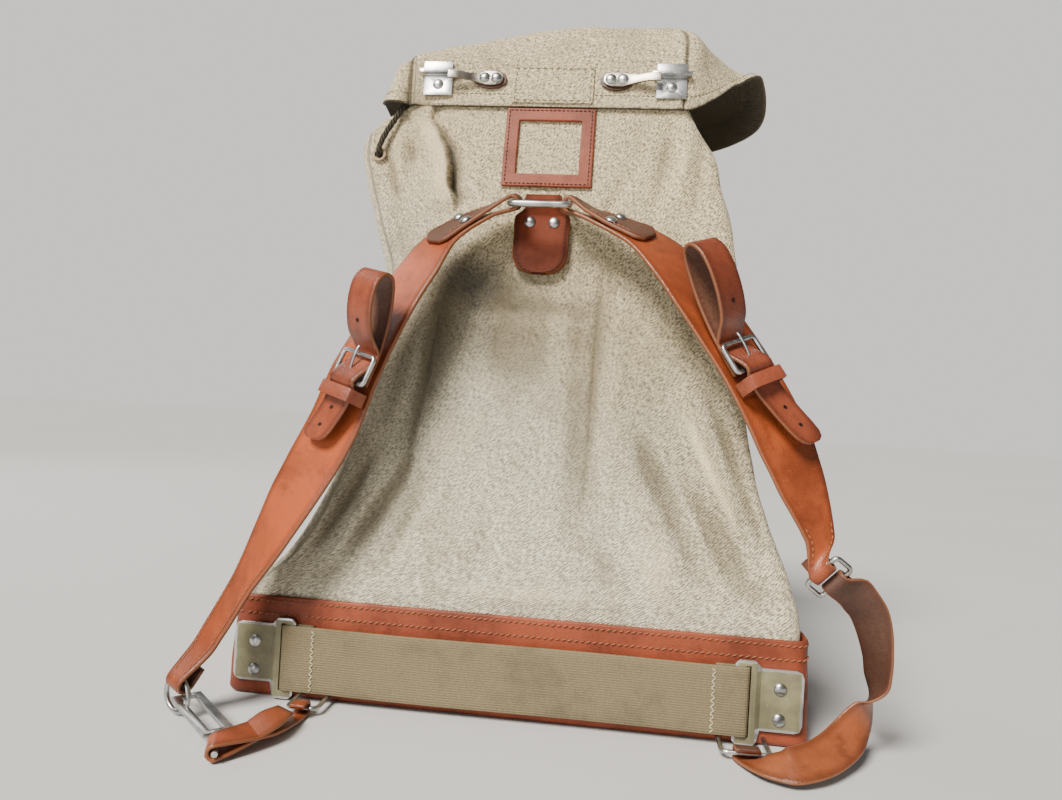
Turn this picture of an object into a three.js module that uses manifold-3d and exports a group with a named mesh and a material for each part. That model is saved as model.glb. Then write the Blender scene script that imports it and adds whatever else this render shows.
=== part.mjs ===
// Army mountain rucksack: canvas sack and lid, leather base and harness, steel fittings.
// Millimetres, Z up, the harness side looks towards -Y, the leather base stands on z = 0.

import * as THREE from 'three';
import { mergeVertices } from 'three/addons/utils/BufferGeometryUtils.js';
import Module from 'manifold-3d';

const wasm = await Module();
wasm.setup();

const V = (x, y, z) => new THREE.Vector3(x, y, z);
const rad = THREE.MathUtils.degToRad;
const lerp = THREE.MathUtils.lerp;
const X_AXIS = V(1, 0, 0);
const Y_AXIS = V(0, 1, 0);
const Z_AXIS = V(0, 0, 1);
const RIGHT = 1;
const LEFT = -1;
const WELD = 1e-4;

// Leather base
const BASE_HALF = 202.5;
const BASE_TOP_HALF = 198.5;
const BASE_DEPTH = 175;
const BASE_HEIGHT = 70.6;
const BASE_CORNER = 28;
const BASE_BACK_CORNER = 11;
const BASE_WALL = 3;
const BASE_EDGE = 5;
const BASE_BEVEL = 1.5;
const BASE_FILLET = 3;

// Canvas sack: the back panel leans away from the wearer above the base
const PANEL_LEAN = rad(10.7);
const PANEL_FOOT = 70;
const CANVAS = 2;
const SACK_FOOT = 12;
const SACK_CLEAR = 1.4;
const SACK_ROWS_UP = 14;
const SACK_BACK_CORNER = 9;
const FRONT_BELLY = 12;
const BELLY_TUCK = 8;

// One row per section: height, left, right, back, front, corner radius, tuck of the sides
const SACK_SECTIONS = [
  [12, -193, 194, 3.6, 171.4, 24, 0],
  [72, -193, 194, 3.6, 171.4, 24, 0],
  [100, -167, 187, 5.7, 184, 24, 4],
  [125, -152, 178, 10.4, 190, 24, 8],
  [185, -133, 159, 21.7, 198, 26, 14],
  [240, -125, 152, 32.1, 198, 26, 16],
  [295, -117, 148, 42.5, 194, 24, 14],
  [355, -134, 142, 53.9, 186, 20, 10],
  [385, -144, 134, 59.5, 180, 18, 6],
  [410, -150, 127, 64.2, 174, 16, 4],
  [445, -146, 107, 70.8, 164, 16, 2],
  [470, -130, 100, 75.6, 158, 16, 0],
];

// Shape of the mouth: place round the sack (whole numbers are the ends of its four sides), height
const MOUTH = [
  [0, 424], [0.04, 435], [0.09, 443], [0.157, 451], [0.9, 452], [2, 446], [3, 442],
  [4, 440], [5, 438], [6, 428], [7, 411], [8, 424],
];
const AROUND = 8;

// Creases of the back panel: x and z of both ends, half width, depth
const CREASES = [
  [-88, 428, -73, 372, 7, 12],
  [-108, 416, -106, 396, 6, 4],
  [-70, 300, -88, 150, 12, 4],
  [48, 320, 44, 130, 14, 3],
  [150, 96, 92, 190, 11, 7],
  [168, 90, 128, 165, 8, 5],
  [-130, 92, -84, 170, 12, 6],
  [-60, 78, 60, 80, 10, -3],
  [-40, 268, 14, 268, 54, 7],
];

// Share of a crease's depth that is left at its ends, and how far over the base it has faded in
const CREASE_END = 0.35;
const CREASE_FADE = [2, 20];

// Where the sack is divided along its back, and into how many steps elsewhere
const BACK_SHARES = [
  0, 0.06, 0.12, 0.16, 0.2, 0.235, 0.27, 0.31, 0.38, 0.47, 0.56, 0.65, 0.73, 0.81, 0.88, 0.94,
];
const CORNER_STEPS = 3;
const SIDE_STEPS = 5;
const FRONT_STEPS = 7;

// Lid: a sheet over the mouth. Row by row round it: hem, turn of the skirt, edge of the top
const LID_OUT = 3.4;
const LID_CENTRE = V(4, 140, 521);
const LID_INSIDE = V(0, 140, 455);
const LID_ROUND_STEPS = 2;
const LID_POLE = 0.98;
const LID_SHARES = [0, 0.16, 0.33, 0.46, 0.58, 0.68, 0.84, LID_POLE];
const HEM = 446;
const BAND_TOP = 485;
const hemY = panelY(HEM) - LID_OUT / Math.cos(PANEL_LEAN);
const bandTopY = panelY(BAND_TOP) - LID_OUT / Math.cos(PANEL_LEAN);
const LID_ROWS = [
  [[-108, hemY, HEM], [-110, bandTopY, BAND_TOP], [-104, 92, 496]],
  [[-70, hemY, HEM], [-70, bandTopY, BAND_TOP], [-66, 94, 507]],
  [[0, hemY, HEM], [0, bandTopY, BAND_TOP], [0, 95, 519]],
  [[55, hemY, HEM], [55, bandTopY, BAND_TOP], [52, 95, 521]],
  [[97, hemY, HEM], [98, bandTopY, BAND_TOP], [92, 95, 520]],
  [[107, hemY + 1, HEM + 1], [109, bandTopY + 1, BAND_TOP], [105, 96, 518]],
  [[124, 80, 459], [122, 92, 488], [114, 106, 515]],
  [[144, 106, 481], [138, 114, 497], [118, 122, 513]],
  [[166, 130, 497], [150, 138, 502], [124, 142, 509]],
  [[173, 152, 470], [162, 158, 492], [124, 160, 506]],
  [[155, 186, 460], [148, 188, 482], [114, 178, 502]],
  [[40, 206, 441], [40, 200, 474], [36, 182, 509]],
  [[-60, 204, 440], [-58, 199, 472], [-52, 180, 505]],
  [[-140, 186, 450], [-131, 184, 472], [-108, 172, 488]],
  [[-155, 138, 472], [-141, 140, 481], [-116, 138, 490]],
  [[-145, 102, 459], [-134, 102, 479], [-115, 110, 490]],
  [[-121, 57, 445], [-124, 74, 478], [-113, 96, 491]],
];
const PATCH = { half: 31.4, low: 447.5, high: 478.5, thick: 1.2, out: 3.8 };

// Sewn leather on the back panel
const FRAME = { half: 34.4, low: 380, high: 445, thick: 2.4, out: 0.5 };
const WINDOW = { half: 24, low: 390, high: 434 };

// Ring at the head of the harness and the tab that holds it
const RING = { half: 21, near: 18, nearZ: 358, far: 49.5, farZ: 367, wire: 2.4, corner: 5, grip: 34 };
const TAB = { low: 312, wide: 41, neck: 27, thick: 2.6, out: 2.2, spread: 3.1, rivetZ: 350.5, rivetX: 9 };
// Columns: height over the tab's foot, share of its width, how far the outer layer stands off
const TAB_ROWS = [[0, 0.3, 0], [1.5, 0.58, 0], [6, 0.86, 0], [14, 1, 0], [43, 1, 0]];
const TAB_NECK = [48.5, 2.9];

// Shoulder straps, from under the ring down to the lower end: x, y, z, width, facing x, y, z
const STRAP = 3;
const EYE_WIDE = 20;
const EYE_SLACK = 1;
const TONGUE = { wide: 24, tip: 13, lift: [3.8, 3.8, 5.6], past: 6, proud: 0.5, rivets: 0.28 };
const STRAP_LEFT = [
  [-35, 33, 353, 22, -0.2, -0.25, 0.95],
  [-54, 27, 343, 26, -0.35, -0.55, 0.76],
  [-70, 20, 330, 34, -0.45, -0.72, 0.53],
  [-82, 10, 308, 44, -0.5, -0.76, 0.4],
  [-96, 2, 281, 48, -0.53, -0.77, 0.35],
  [-108, -4, 254, 49, -0.5, -0.8, 0.32],
  [-118, -9, 229, 49, -0.44, -0.84, 0.3],
  [-128, -13, 197, 48, -0.38, -0.87, 0.3],
  [-140.5, -16, 169, 47, -0.36, -0.88, 0.3],
  [-153.5, -20, 142, 44, -0.4, -0.86, 0.3],
  [-167, -24, 112, 38, -0.5, -0.8, 0.3],
  [-180.5, -28, 84, 30, -0.6, -0.74, 0.28],
  [-190.5, -33, 62, 26, -0.54, -0.79, 0.28],
  [-199, -40, 43, 21, -0.44, -0.86, 0.28],
];
const STRAP_RIGHT = [
  [35, 33, 353, 22, 0.2, -0.25, 0.95],
  [54, 26, 346, 26, 0.35, -0.55, 0.76],
  [74, 19, 337, 34, 0.45, -0.68, 0.58],
  [93, 11, 321, 44, 0.48, -0.72, 0.5],
  [112, 4, 297, 48, 0.5, -0.73, 0.46],
  [130, -2, 272, 49, 0.5, -0.74, 0.44],
  [145, -7, 250, 49, 0.5, -0.75, 0.42],
  [159, -12, 226, 49, 0.5, -0.76, 0.38],
  [172, -16, 200, 47, 0.46, -0.8, 0.36],
  [183, -19, 174, 41, 0.5, -0.8, 0.3],
  [191.5, -22, 152, 30, 0.52, -0.8, 0.24],
  [194.5, -24, 141, 24, 0.52, -0.82, 0.2],
];

// Accessory loop on each shoulder strap: way along the strap, out from it, towards the middle
const LOOP = { thick: 2.5 };
// Where each loop sits: row of the strap under it, slide along the strap, shift to the middle,
// how much further out and further down the tip of its tail lies, how much taller its bow stands
const LOOP_LEFT = { row: 6, slide: -5, shift: 6, over: -5, longer: 2, taller: 0 };
const LOOP_RIGHT = { row: 6, slide: -4, shift: 4, over: -9, longer: 15, taller: 13 };
const LOOP_TAIL = { from: 25, tip: 54 };
const LOOP_BOW = { from: -15, top: -61 };
const LOOP_ROWS = [
  [10, 4, 4, 24],
  [-10, 5, 4, 24],
  [-33, 9, 4, 24],
  [-52, 17, 5, 24],
  [-61, 25, 7, 24],
  [-61, 32, 8, 24],
  [-53, 37, 9, 24],
  [-36, 33, 9, 24],
  [-21, 22, 8, 24],
  [-12, 9.3, 8, 24],
  [-4, 11, 8, 24],
  [4, 15.6, 7, 24],
  [11, 18.2, 6, 24],
  [16, 14.6, 5, 24],
  [25, 11, 2, 24],
  [34, 9, 0, 24],
  [46, 7.6, -3, 24],
  [50, 7.4, -4, 22.4],
  [52.6, 7.3, -4.6, 17.6],
  [54, 7.2, -5, 9],
];
const BUCKLE = { half: 15.5, reach: 10, wire: 1.6, corner: 3, at: 1, out: 14, side: 7 };
const PRONG_ROWS = [[7.9, 13.9], [4.4, 15.2], [1, 16.6], [-4, 17.4], [-10, 17.6], [-13, 17.2]];
const PRONG = { thick: 0.9, hole: 3.4, holeAt: 4.4, side: 7, holeFrom: 9, holeTo: 22 };
const KEEPER = { at: 20, out: 10.4, side: 3.4, half: 15.2, rise: 7.6, corner: 2.5, thick: 1.8, long: 9 };

// Lumbar band across the base and the plates that hold it
const WEBBING = { end: 159.9, sewn: 138, low: 7.2, high: 52.8, face: -7.4, back: -0.5, thick: 2, bend: 1.2 };
const PLATE = {
  bar: 150, neck: 166, end: 195, low: 11, high: 52, earLow: 1, earHigh: 57, thick: 2,
  corner: 5, ear: 3, chamfer: 1.4, step: 2,
};
const PLATE_FACE = { head: -5, body: -2.4, slope: [163, 167.5] };
const SLOT = { near: 157.5, far: 160.5, low: 6.7, high: 53.3 };
const PLATE_RIVETS = [[180, 39], [180, 19]];

// Lid clasps on the back band of the lid: a folded plate and a sprung arm with an oval foot
const CLASP = { gap: 0.7, x: 90.5, half: 11.5, low: 452.5, high: 478.5, thick: 1.5, flap: 8, flapOut: 5.5 };
const CLASP_BAR = { half: 15, z: 471.5, rise: 1.5, sunk: 0.5 };
const ARM = { thick: 1.6, z: 466.5 };
// Columns: distance from the middle, out from the lid, width
const ARM_ROWS = [
  [39, 3.4, 4], [41, 3.4, 9], [46, 3.4, 12], [53, 3.4, 12],
  [59, 3.6, 8], [65, 5, 6], [73, 7.6, 6], [82, 8.6, 7],
];
const BACKING = { from: 36, to: 62, half: 8, thick: 2, gap: 0.3, sides: 12 };
const CLASP_RIVETS = [[44.4, 466.5], [53.6, 466.5]];
const CUP_RIVET = [90.5, 461.5];

// Fittings at the lower ends of the straps
const RING_LEFT = { at: V(-211, -46, 13.6), radius: 11.4, wire: 1.7, turn: V(0.9, -0.43, 0), sag: 1.25 };
const STRAP_END = { ring: 14, link: 16, tail: 12 };
const HOOK = {
  at: V(-203.5, -47.6, 13), along: V(0.754, -0.649, -0.096), long: 54, gap: 9, bar: 5, thick: 2.6,
};
const HOOK_BARS = { heel: 2, toe: 4, root: 3 };
const HOOK_PIN = { along: V(0.38, -0.92, -0.05), long: 27, radius: 2 };
const BASE_LOOP = { near: -27, far: 9, z: 5.2, wire: 1.6, corner: 4, fit: 0.5 };
// Columns: side, middle, half width
const BASE_LOOPS = { left: [-134, 10], right: [156, 15] };
const LINK = {
  at: V(200, -27, 119.5), bar: V(0.6, -0.25, 0.76), span: V(0.785, 0.187, -0.59),
  half: 13, reach: 6.5, corner: 3,
};
const LINK_WIRE = 1.6;

// Lower strap on the right, from the link down to the base: x, y, z, width, facing x, y, z
const LOWER = { thick: 2.5, eye: 16, tail: 14, footTail: 8.4 };
const LOWER_ROWS = [
  [216, -24, 111, 23, -0.25, -0.9, 0.3],
  [228, -18, 97, 24, -0.5, -0.8, 0.3],
  [236, -11, 73, 24, -0.75, -0.62, 0.1],
  [239, -4, 50, 24, -0.93, -0.3, -0.1],
  [233, -3, 31, 24, -0.8, 0.3, -0.5],
  [219, -18, 18, 24, -0.3, 0.62, -0.72],
  [197, -42, 13, 24, 0, 0.68, -0.73],
  [178, -52, 11, 24, 0.1, 0.56, -0.82],
  [164, -44, 7, 20, 0.1, 0.25, -0.97],
];

// Leather tab between the left hook and the base: the two edges of its middle, x and y of each
const TIE = {
  thick: 2.5, from: -139, to: -129, tail: 9, layer: 3.7, inset: [7.6, 1],
  midA: V(-151, -55, 0), midB: V(-131, -74, 0),
};

// Mouth cord and its eyelet: route given as place round the sack, height and distance out
const EYELET = { around: 8.03, z: 404, hole: 5, from: -8, to: 4, sides: 10 };
// Columns: radius, distance out
const EYELET_PROFILE = [
  [3.4, -5.6], [5.5, -5.6], [5.5, -4.8], [4.2, -4.8], [4.2, 0.9], [5.5, 0.9], [5.5, 1.7], [3.4, 1.7],
];
const CORD = 2.1;
const CORD_ROWS = [
  [8.03, 404, -14], [8.03, 404, -5], [8.03, 404, 1.5], [8.031, 404.8, 3.8],
  [8.036, 410, 4.4], [8.05, 421, 4.2], [8.07, 432, 4.2], [8.083, 440, 3.6],
  [8.087, 446.5, -1], [8.09, 442, -6.5], [8.094, 430, -8], [8.094, 418, -9],
];
const CORD_STEPS = 18;

const RIVET = { head: 4.2, rise: 2.2, shank: 1.7, fit: 0.35, gap: 0.3 };
// Columns of the rivet's dome: share of the head's radius, share of its rise
const RIVET_DOME = [[0.8, 0.7], [0.35, 1]];
const ROUND = 7;

const FINISH = {
  canvas: [0x8a8368, 0.95, 0],
  baseLeather: [0x7d3b24, 0.5, 0],
  strapLeather: [0xa9582b, 0.45, 0],
  loopLeather: [0x8a4229, 0.5, 0],
  webbing: [0x7a7355, 0.9, 0],
  paint: [0x7d7853, 0.5, 0.2],
  steel: [0xc6c6c2, 0.3, 1],
  cord: [0x2f2a22, 0.8, 0],
};

const group = new THREE.Group();
group.name = 'rucksack';

function add(name, geometry, finish) {
  const [color, roughness, metalness] = FINISH[finish];
  geometry.translate(0, -BASE_DEPTH / 2, 0);
  geometry.computeVertexNormals();
  const mesh = new THREE.Mesh(geometry, new THREE.MeshStandardMaterial({ color, roughness, metalness }));
  mesh.name = name;
  group.add(mesh);
}

// Closed surfaces from rings of points

function volumeOf(points, index) {
  let sum = 0;
  for (let i = 0; i < index.length; i += 3) {
    const [a, b, c] = [points[index[i]], points[index[i + 1]], points[index[i + 2]]];
    sum += a.dot(b.clone().cross(c));
  }
  return sum;
}

function loft(rings, joined = false) {
  const count = rings[0].length;
  const spans = joined ? rings.length : rings.length - 1;
  const index = [];
  for (let row = 0; row < spans; row += 1) {
    const here = row * count;
    const there = ((row + 1) % rings.length) * count;
    for (let i = 0; i < count; i += 1) {
      const j = (i + 1) % count;
      index.push(here + i, here + j, there + j, here + i, there + j, there + i);
    }
  }
  if (!joined) {
    const last = (rings.length - 1) * count;
    for (let i = 1; i < count - 1; i += 1) {
      index.push(0, i + 1, i, last, last + i, last + i + 1);
    }
  }
  const points = rings.flat();
  if (volumeOf(points, index) < 0) index.reverse();
  const geometry = new THREE.BufferGeometry().setFromPoints(points);
  geometry.setIndex(index);
  return geometry;
}

function circle(centre, u, v, radius, sides = ROUND) {
  return Array.from({ length: sides }, (_, i) => {
    const a = (i / sides) * 2 * Math.PI;
    return centre.clone().addScaledVector(u, radius * Math.cos(a)).addScaledVector(v, radius * Math.sin(a));
  });
}

function sideways(axis) {
  const u = V(-axis.y, axis.x, 0);
  if (u.lengthSq() < 0.01) u.copy(X_AXIS);
  u.normalize();
  return [u, axis.clone().cross(u).normalize()];
}

// Round piece along an axis; profile rows are radius and height
function turned(origin, axis, profile, sides = ROUND) {
  const [u, v] = sideways(axis);
  const ring = ([radius, h]) => circle(origin.clone().addScaledVector(axis, h), u, v, radius, sides);
  return loft(profile.map(ring));
}

function rod(points, radius, sides = 6) {
  const along = points.map((_, i) => {
    const next = points[Math.min(i + 1, points.length - 1)];
    return next.clone().sub(points[Math.max(i - 1, 0)]).normalize();
  });
  let [u] = sideways(along[0]);
  return loft(points.map((point, i) => {
    u = u.clone().addScaledVector(along[i], -u.dot(along[i])).normalize();
    return circle(point, u, along[i].clone().cross(u), radius, sides);
  }));
}

// Joining and cutting solids

function toSolid(geometry) {
  const plain = geometry.clone();
  plain.deleteAttribute('normal');
  plain.deleteAttribute('uv');
  const welded = mergeVertices(plain, WELD);
  return new wasm.Manifold(new wasm.Mesh({
    numProp: 3,
    vertProperties: new Float32Array(welded.attributes.position.array),
    triVerts: new Uint32Array(welded.index.array),
  }));
}

function toGeometry(solid) {
  const mesh = solid.getMesh();
  const geometry = new THREE.BufferGeometry();
  geometry.setAttribute('position', new THREE.Float32BufferAttribute(mesh.vertProperties, 3));
  geometry.setIndex(Array.from(mesh.triVerts));
  return geometry;
}

function joinedUp(...pieces) {
  return toGeometry(pieces.map(toSolid).reduce((whole, piece) => whole.add(piece)));
}

function common(a, b) {
  return toGeometry(toSolid(a).intersect(toSolid(b)));
}

function drilled(geometry, holes) {
  return toGeometry(holes.map(toSolid).reduce((whole, hole) => whole.subtract(hole), toSolid(geometry)));
}

function mirrored(geometry) {
  const other = geometry.clone().scale(-1, 1, 1);
  other.setIndex(Array.from(other.index.array).reverse());
  return other;
}

// Rivet with a domed head; seat is the surface under the head, depth the way through what it holds
function rivet(seat, axis, depth) {
  const { head, rise, shank, gap } = RIVET;
  const dome = RIVET_DOME.map(([wide, high]) => [head * wide, rise * high]);
  return turned(seat, axis, [[shank, -depth], [shank, gap], [head, gap], ...dome]);
}

function rivetHole(seat, axis, depth) {
  const radius = RIVET.shank + RIVET.fit;
  return turned(seat, axis, [[radius, -depth], [radius, RIVET.rise]]);
}

// Straps: each row has the two edges of the strap

function banded(rows, thickness) {
  return loft(rows.map(({ a, b }, i) => {
    const before = rows[Math.max(i - 1, 0)];
    const after = rows[Math.min(i + 1, rows.length - 1)];
    const along = after.a.clone().add(after.b).sub(before.a).sub(before.b);
    const lift = along.cross(b.clone().sub(a)).setLength(thickness / 2);
    return [a.clone().add(lift), b.clone().add(lift), b.clone().sub(lift), a.clone().sub(lift)];
  }));
}

// Edges from centres, facings and widths
function edges(rows) {
  return rows.map(({ at, out, width }, i) => {
    const before = rows[Math.max(i - 1, 0)].at;
    const along = rows[Math.min(i + 1, rows.length - 1)].at.clone().sub(before);
    const across = along.cross(out).setLength(width / 2);
    return { a: at.clone().sub(across), b: at.clone().add(across) };
  });
}

// Half turn round a bar: from one side of it over to the other
function halfTurn(a, b, radius, from, via, steps = 6) {
  return Array.from({ length: steps + 1 }, (_, i) => {
    const angle = (i / steps) * Math.PI;
    const arm = from.clone().multiplyScalar(Math.cos(angle)).addScaledVector(via, Math.sin(angle));
    return { a: a.clone().addScaledVector(arm, radius), b: b.clone().addScaledVector(arm, radius) };
  });
}

function smooth(rows, steps) {
  const curve = (pick) => new THREE.CatmullRomCurve3(rows.map(pick));
  const [at, out] = [curve((row) => row.at), curve((row) => row.out)];
  const count = (rows.length - 1) * steps;
  return Array.from({ length: count + 1 }, (_, i) => {
    const t = i / count;
    const span = Math.min(Math.floor(i / steps), rows.length - 2);
    const width = lerp(rows[span].width, rows[span + 1].width, i / steps - span);
    return { at: at.getPoint(t), out: out.getPoint(t).normalize(), width };
  });
}

// Wire bent into a rounded rectangle in the plane of u and v
function wireLoop(centre, u, v, halfU, halfV, corner, wire, cornerSteps = 2, sides = 6) {
  const normal = u.clone().cross(v).normalize();
  const rings = [];
  const quarters = [[1, 1, 0], [-1, 1, 1], [-1, -1, 2], [1, -1, 3]];
  for (const [su, sv, quarter] of quarters) {
    for (let i = 0; i <= cornerSteps; i += 1) {
      const a = (quarter + i / cornerSteps) * (Math.PI / 2);
      const outward = u.clone().multiplyScalar(Math.cos(a)).addScaledVector(v, Math.sin(a));
      const at = centre.clone().addScaledVector(u, su * (halfU - corner))
        .addScaledVector(v, sv * (halfV - corner));
      rings.push(circle(at.addScaledVector(outward, corner), outward, normal, wire, sides));
    }
  }
  return loft(rings, true);
}

// Flat pieces on the leaning back panel: x, height and distance out become a place

function panelY(z) {
  return (z - PANEL_FOOT) * Math.tan(PANEL_LEAN);
}

function onPanel(x, z, out) {
  return V(x, panelY(z) - out * Math.cos(PANEL_LEAN), z + out * Math.sin(PANEL_LEAN));
}

const PANEL_OUT = V(0, -Math.cos(PANEL_LEAN), Math.sin(PANEL_LEAN));
const PANEL_UP = V(0, Math.sin(PANEL_LEAN), Math.cos(PANEL_LEAN));

function panelBox(x0, x1, z0, z1, out0, out1) {
  const ring = (out) => [[x0, z0], [x1, z0], [x1, z1], [x0, z1]].map(([x, z]) => onPanel(x, z, out));
  return loft([ring(out0), ring(out1)]);
}

// Sections of the sack and the base: a rounded rectangle; `around` runs 0 to 8, side then corner

function onRing({ left, right, back, front, radius, backRadius }, around) {
  const edge = Math.floor(around);
  const f = around - edge;
  const corner = (cx, cy, start, r) => {
    const [c, s] = [Math.cos(start + f * Math.PI / 2), Math.sin(start + f * Math.PI / 2)];
    return { x: cx + r * c, y: cy + r * s, nx: c, ny: s };
  };
  switch (edge) {
    case 0: return { x: lerp(left + backRadius, right - backRadius, f), y: back, nx: 0, ny: -1 };
    case 1: return corner(right - backRadius, back + backRadius, -Math.PI / 2, backRadius);
    case 2: return { x: right, y: lerp(back + backRadius, front - radius, f), nx: 1, ny: 0 };
    case 3: return corner(right - radius, front - radius, 0, radius);
    case 4: return { x: lerp(right - radius, left + radius, f), y: front, nx: 0, ny: 1 };
    case 5: return corner(left + radius, front - radius, Math.PI / 2, radius);
    case 6: return { x: left, y: lerp(front - radius, back + backRadius, f), nx: -1, ny: 0 };
    default: return corner(left + backRadius, back + backRadius, Math.PI, backRadius);
  }
}

function steps(start, count) {
  return Array.from({ length: count }, (_, i) => start + i / count);
}

function stations(backShares, corner, side, front) {
  return [
    ...backShares, ...steps(1, corner), ...steps(2, side), ...steps(3, corner),
    ...steps(4, front), ...steps(5, corner), ...steps(6, side), ...steps(7, corner),
  ];
}

// Value of one column of a table at a key, smooth and without overshoot
function column(table, pick, key) {
  const last = table.length - 2;
  let row = table.findIndex((entry) => entry[0] > key) - 1;
  if (row < 0) row = key < table[0][0] ? 0 : last;
  const slope = (i) => (table[i + 1][pick] - table[i][pick]) / (table[i + 1][0] - table[i][0]);
  const tangent = (i) => {
    if (i === 0 || i === table.length - 1) return slope(Math.min(i, last));
    const [before, after] = [slope(i - 1), slope(i)];
    return before * after <= 0 ? 0 : (2 * before * after) / (before + after);
  };
  const span = table[row + 1][0] - table[row][0];
  const t = THREE.MathUtils.clamp((key - table[row][0]) / span, 0, 1);
  const [t2, t3] = [t * t, t * t * t];
  return table[row][pick] * (2 * t3 - 3 * t2 + 1) + tangent(row) * span * (t3 - 2 * t2 + t)
    + table[row + 1][pick] * (3 * t2 - 2 * t3) + tangent(row + 1) * span * (t3 - t2);
}

function sackSection(z) {
  const [left, right, back, front, radius, tuck] = [1, 2, 3, 4, 5, 6].map((i) => column(SACK_SECTIONS, i, z));
  return { left, right, back, front, radius, backRadius: SACK_BACK_CORNER, tuck };
}

function creaseDepth(x, z) {
  let depth = 0;
  for (const [x0, z0, x1, z1, half, deep] of CREASES) {
    const [dx, dz] = [x1 - x0, z1 - z0];
    const t = ((x - x0) * dx + (z - z0) * dz) / (dx * dx + dz * dz);
    const near = THREE.MathUtils.clamp(t, 0, 1);
    const away = Math.hypot(x - x0 - near * dx, z - z0 - near * dz) / half;
    depth += deep * Math.exp(-away * away) * lerp(CREASE_END, 1, Math.sin(Math.PI * near));
  }
  return depth;
}

function sackPoint(around, z, inset = 0) {
  const section = sackSection(z);
  const at = onRing(section, around);
  const share = around - Math.floor(around);
  const swell = Math.sin(Math.PI * share);
  let push = -inset;
  if (around >= 4 && around < 5) push += FRONT_BELLY * swell * Math.min(1, section.tuck / BELLY_TUCK);
  if ((around >= 2 && around < 3) || (around >= 6 && around < 7)) push -= section.tuck * swell * swell;
  const [fadeFrom, fadeTo] = CREASE_FADE.map((over) => BASE_HEIGHT + over);
  push -= creaseDepth(at.x, z) * Math.max(0, -at.ny) * THREE.MathUtils.smoothstep(z, fadeFrom, fadeTo);
  return V(at.x + at.nx * push, at.y + at.ny * push, z);
}

function mouthZ(around) {
  return column(MOUTH, 1, around);
}

// Canvas sack: an open tube, its foot inside the leather base

function buildSack() {
  const places = stations(BACK_SHARES, CORNER_STEPS, SIDE_STEPS, FRONT_STEPS);
  const heights = [SACK_FOOT, ...steps(0, SACK_ROWS_UP), 1];
  const ring = (row, inset) => places.map((around) => {
    const z = row === 0 ? SACK_FOOT : lerp(BASE_HEIGHT + SACK_CLEAR, mouthZ(around), heights[row]);
    return sackPoint(around, z, inset);
  });
  const rows = heights.map((_, row) => row);
  const outer = rows.map((row) => ring(row, 0));
  const inner = rows.reverse().map((row) => ring(row, CANVAS));
  return loft([...outer, ...inner], true);
}

function buildBase() {
  const ring = (half, z, inset) => {
    const section = {
      left: -half + inset, right: half - inset, back: inset, front: BASE_DEPTH - inset,
      radius: BASE_CORNER - inset, backRadius: BASE_BACK_CORNER - inset,
    };
    return stations([0, 0.5], 3, 1, 1).map((around) => {
      const at = onRing(section, around);
      return V(at.x, at.y, z);
    });
  };
  return loft([
    ring(BASE_HALF, 0, BASE_EDGE),
    ring(BASE_HALF, BASE_BEVEL, BASE_BEVEL),
    ring(BASE_HALF, BASE_EDGE, 0),
    ring(BASE_TOP_HALF, BASE_HEIGHT, 0),
    ring(BASE_TOP_HALF, BASE_HEIGHT, BASE_WALL),
    ring(BASE_HALF, BASE_WALL + BASE_FILLET, BASE_WALL),
    ring(BASE_HALF, BASE_WALL, BASE_WALL + BASE_FILLET),
  ]);
}

// Lid: rings of points from the hem to the middle of the top, and the same again inside

function buildLid() {
  const loops = [0, 1, 2].map((i) => new THREE.CatmullRomCurve3(LID_ROWS.map((row) => V(...row[i])), true));
  const around = LID_ROWS.length * LID_ROUND_STEPS;
  const lines = Array.from({ length: around }, (_, i) => {
    const [hem, turn, top] = loops.map((curve) => curve.getPoint(i / around));
    const line = new THREE.CatmullRomCurve3([hem, turn, top, top.clone().lerp(LID_CENTRE, LID_POLE)]);
    const spans = 3;
    return LID_SHARES.map((share) => (
      share * spans < 1 ? hem.clone().lerp(turn, share * spans) : line.getPoint(share)
    ));
  });
  const outer = LID_SHARES.map((_, k) => lines.map((line) => line[k]));
  const inner = outer.map((ring, k) => ring.map((point, i) => {
    const round = ring[(i + 1) % around].clone().sub(ring[(i + around - 1) % around]);
    const up = outer[Math.min(k + 1, outer.length - 1)][i].clone().sub(outer[Math.max(k - 1, 0)][i]);
    const normal = round.cross(up).normalize();
    if (normal.dot(point.clone().sub(LID_INSIDE)) < 0) normal.negate();
    if (k === outer.length - 1) normal.copy(Z_AXIS);
    return point.clone().addScaledVector(normal, -CANVAS);
  }));
  return loft([...outer.slice().reverse(), ...inner]);
}

// Sack, lid and base are cut for what passes through them
const plateRivets = [];
const sackHoles = [];
const lidHoles = [];
const baseHoles = [];

// Lumbar band and plates

function buildWebbing() {
  const { end, sewn, face, back, thick, bend, low, high } = WEBBING;
  const half = [
    [end - bend, face], [end, face + bend], [end, back - bend], [end - bend, back], [sewn, back],
    [sewn, back - thick], [end - thick, back - thick], [end - thick, face + thick],
  ];
  const other = half.map(([x, y]) => [-x, y]).reverse();
  const shape = new THREE.Shape([...half, ...other].map(([x, y]) => new THREE.Vector2(x, y)));
  return new THREE.ExtrudeGeometry(shape, { depth: high - low, bevelEnabled: false }).translate(0, 0, low);
}

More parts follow.
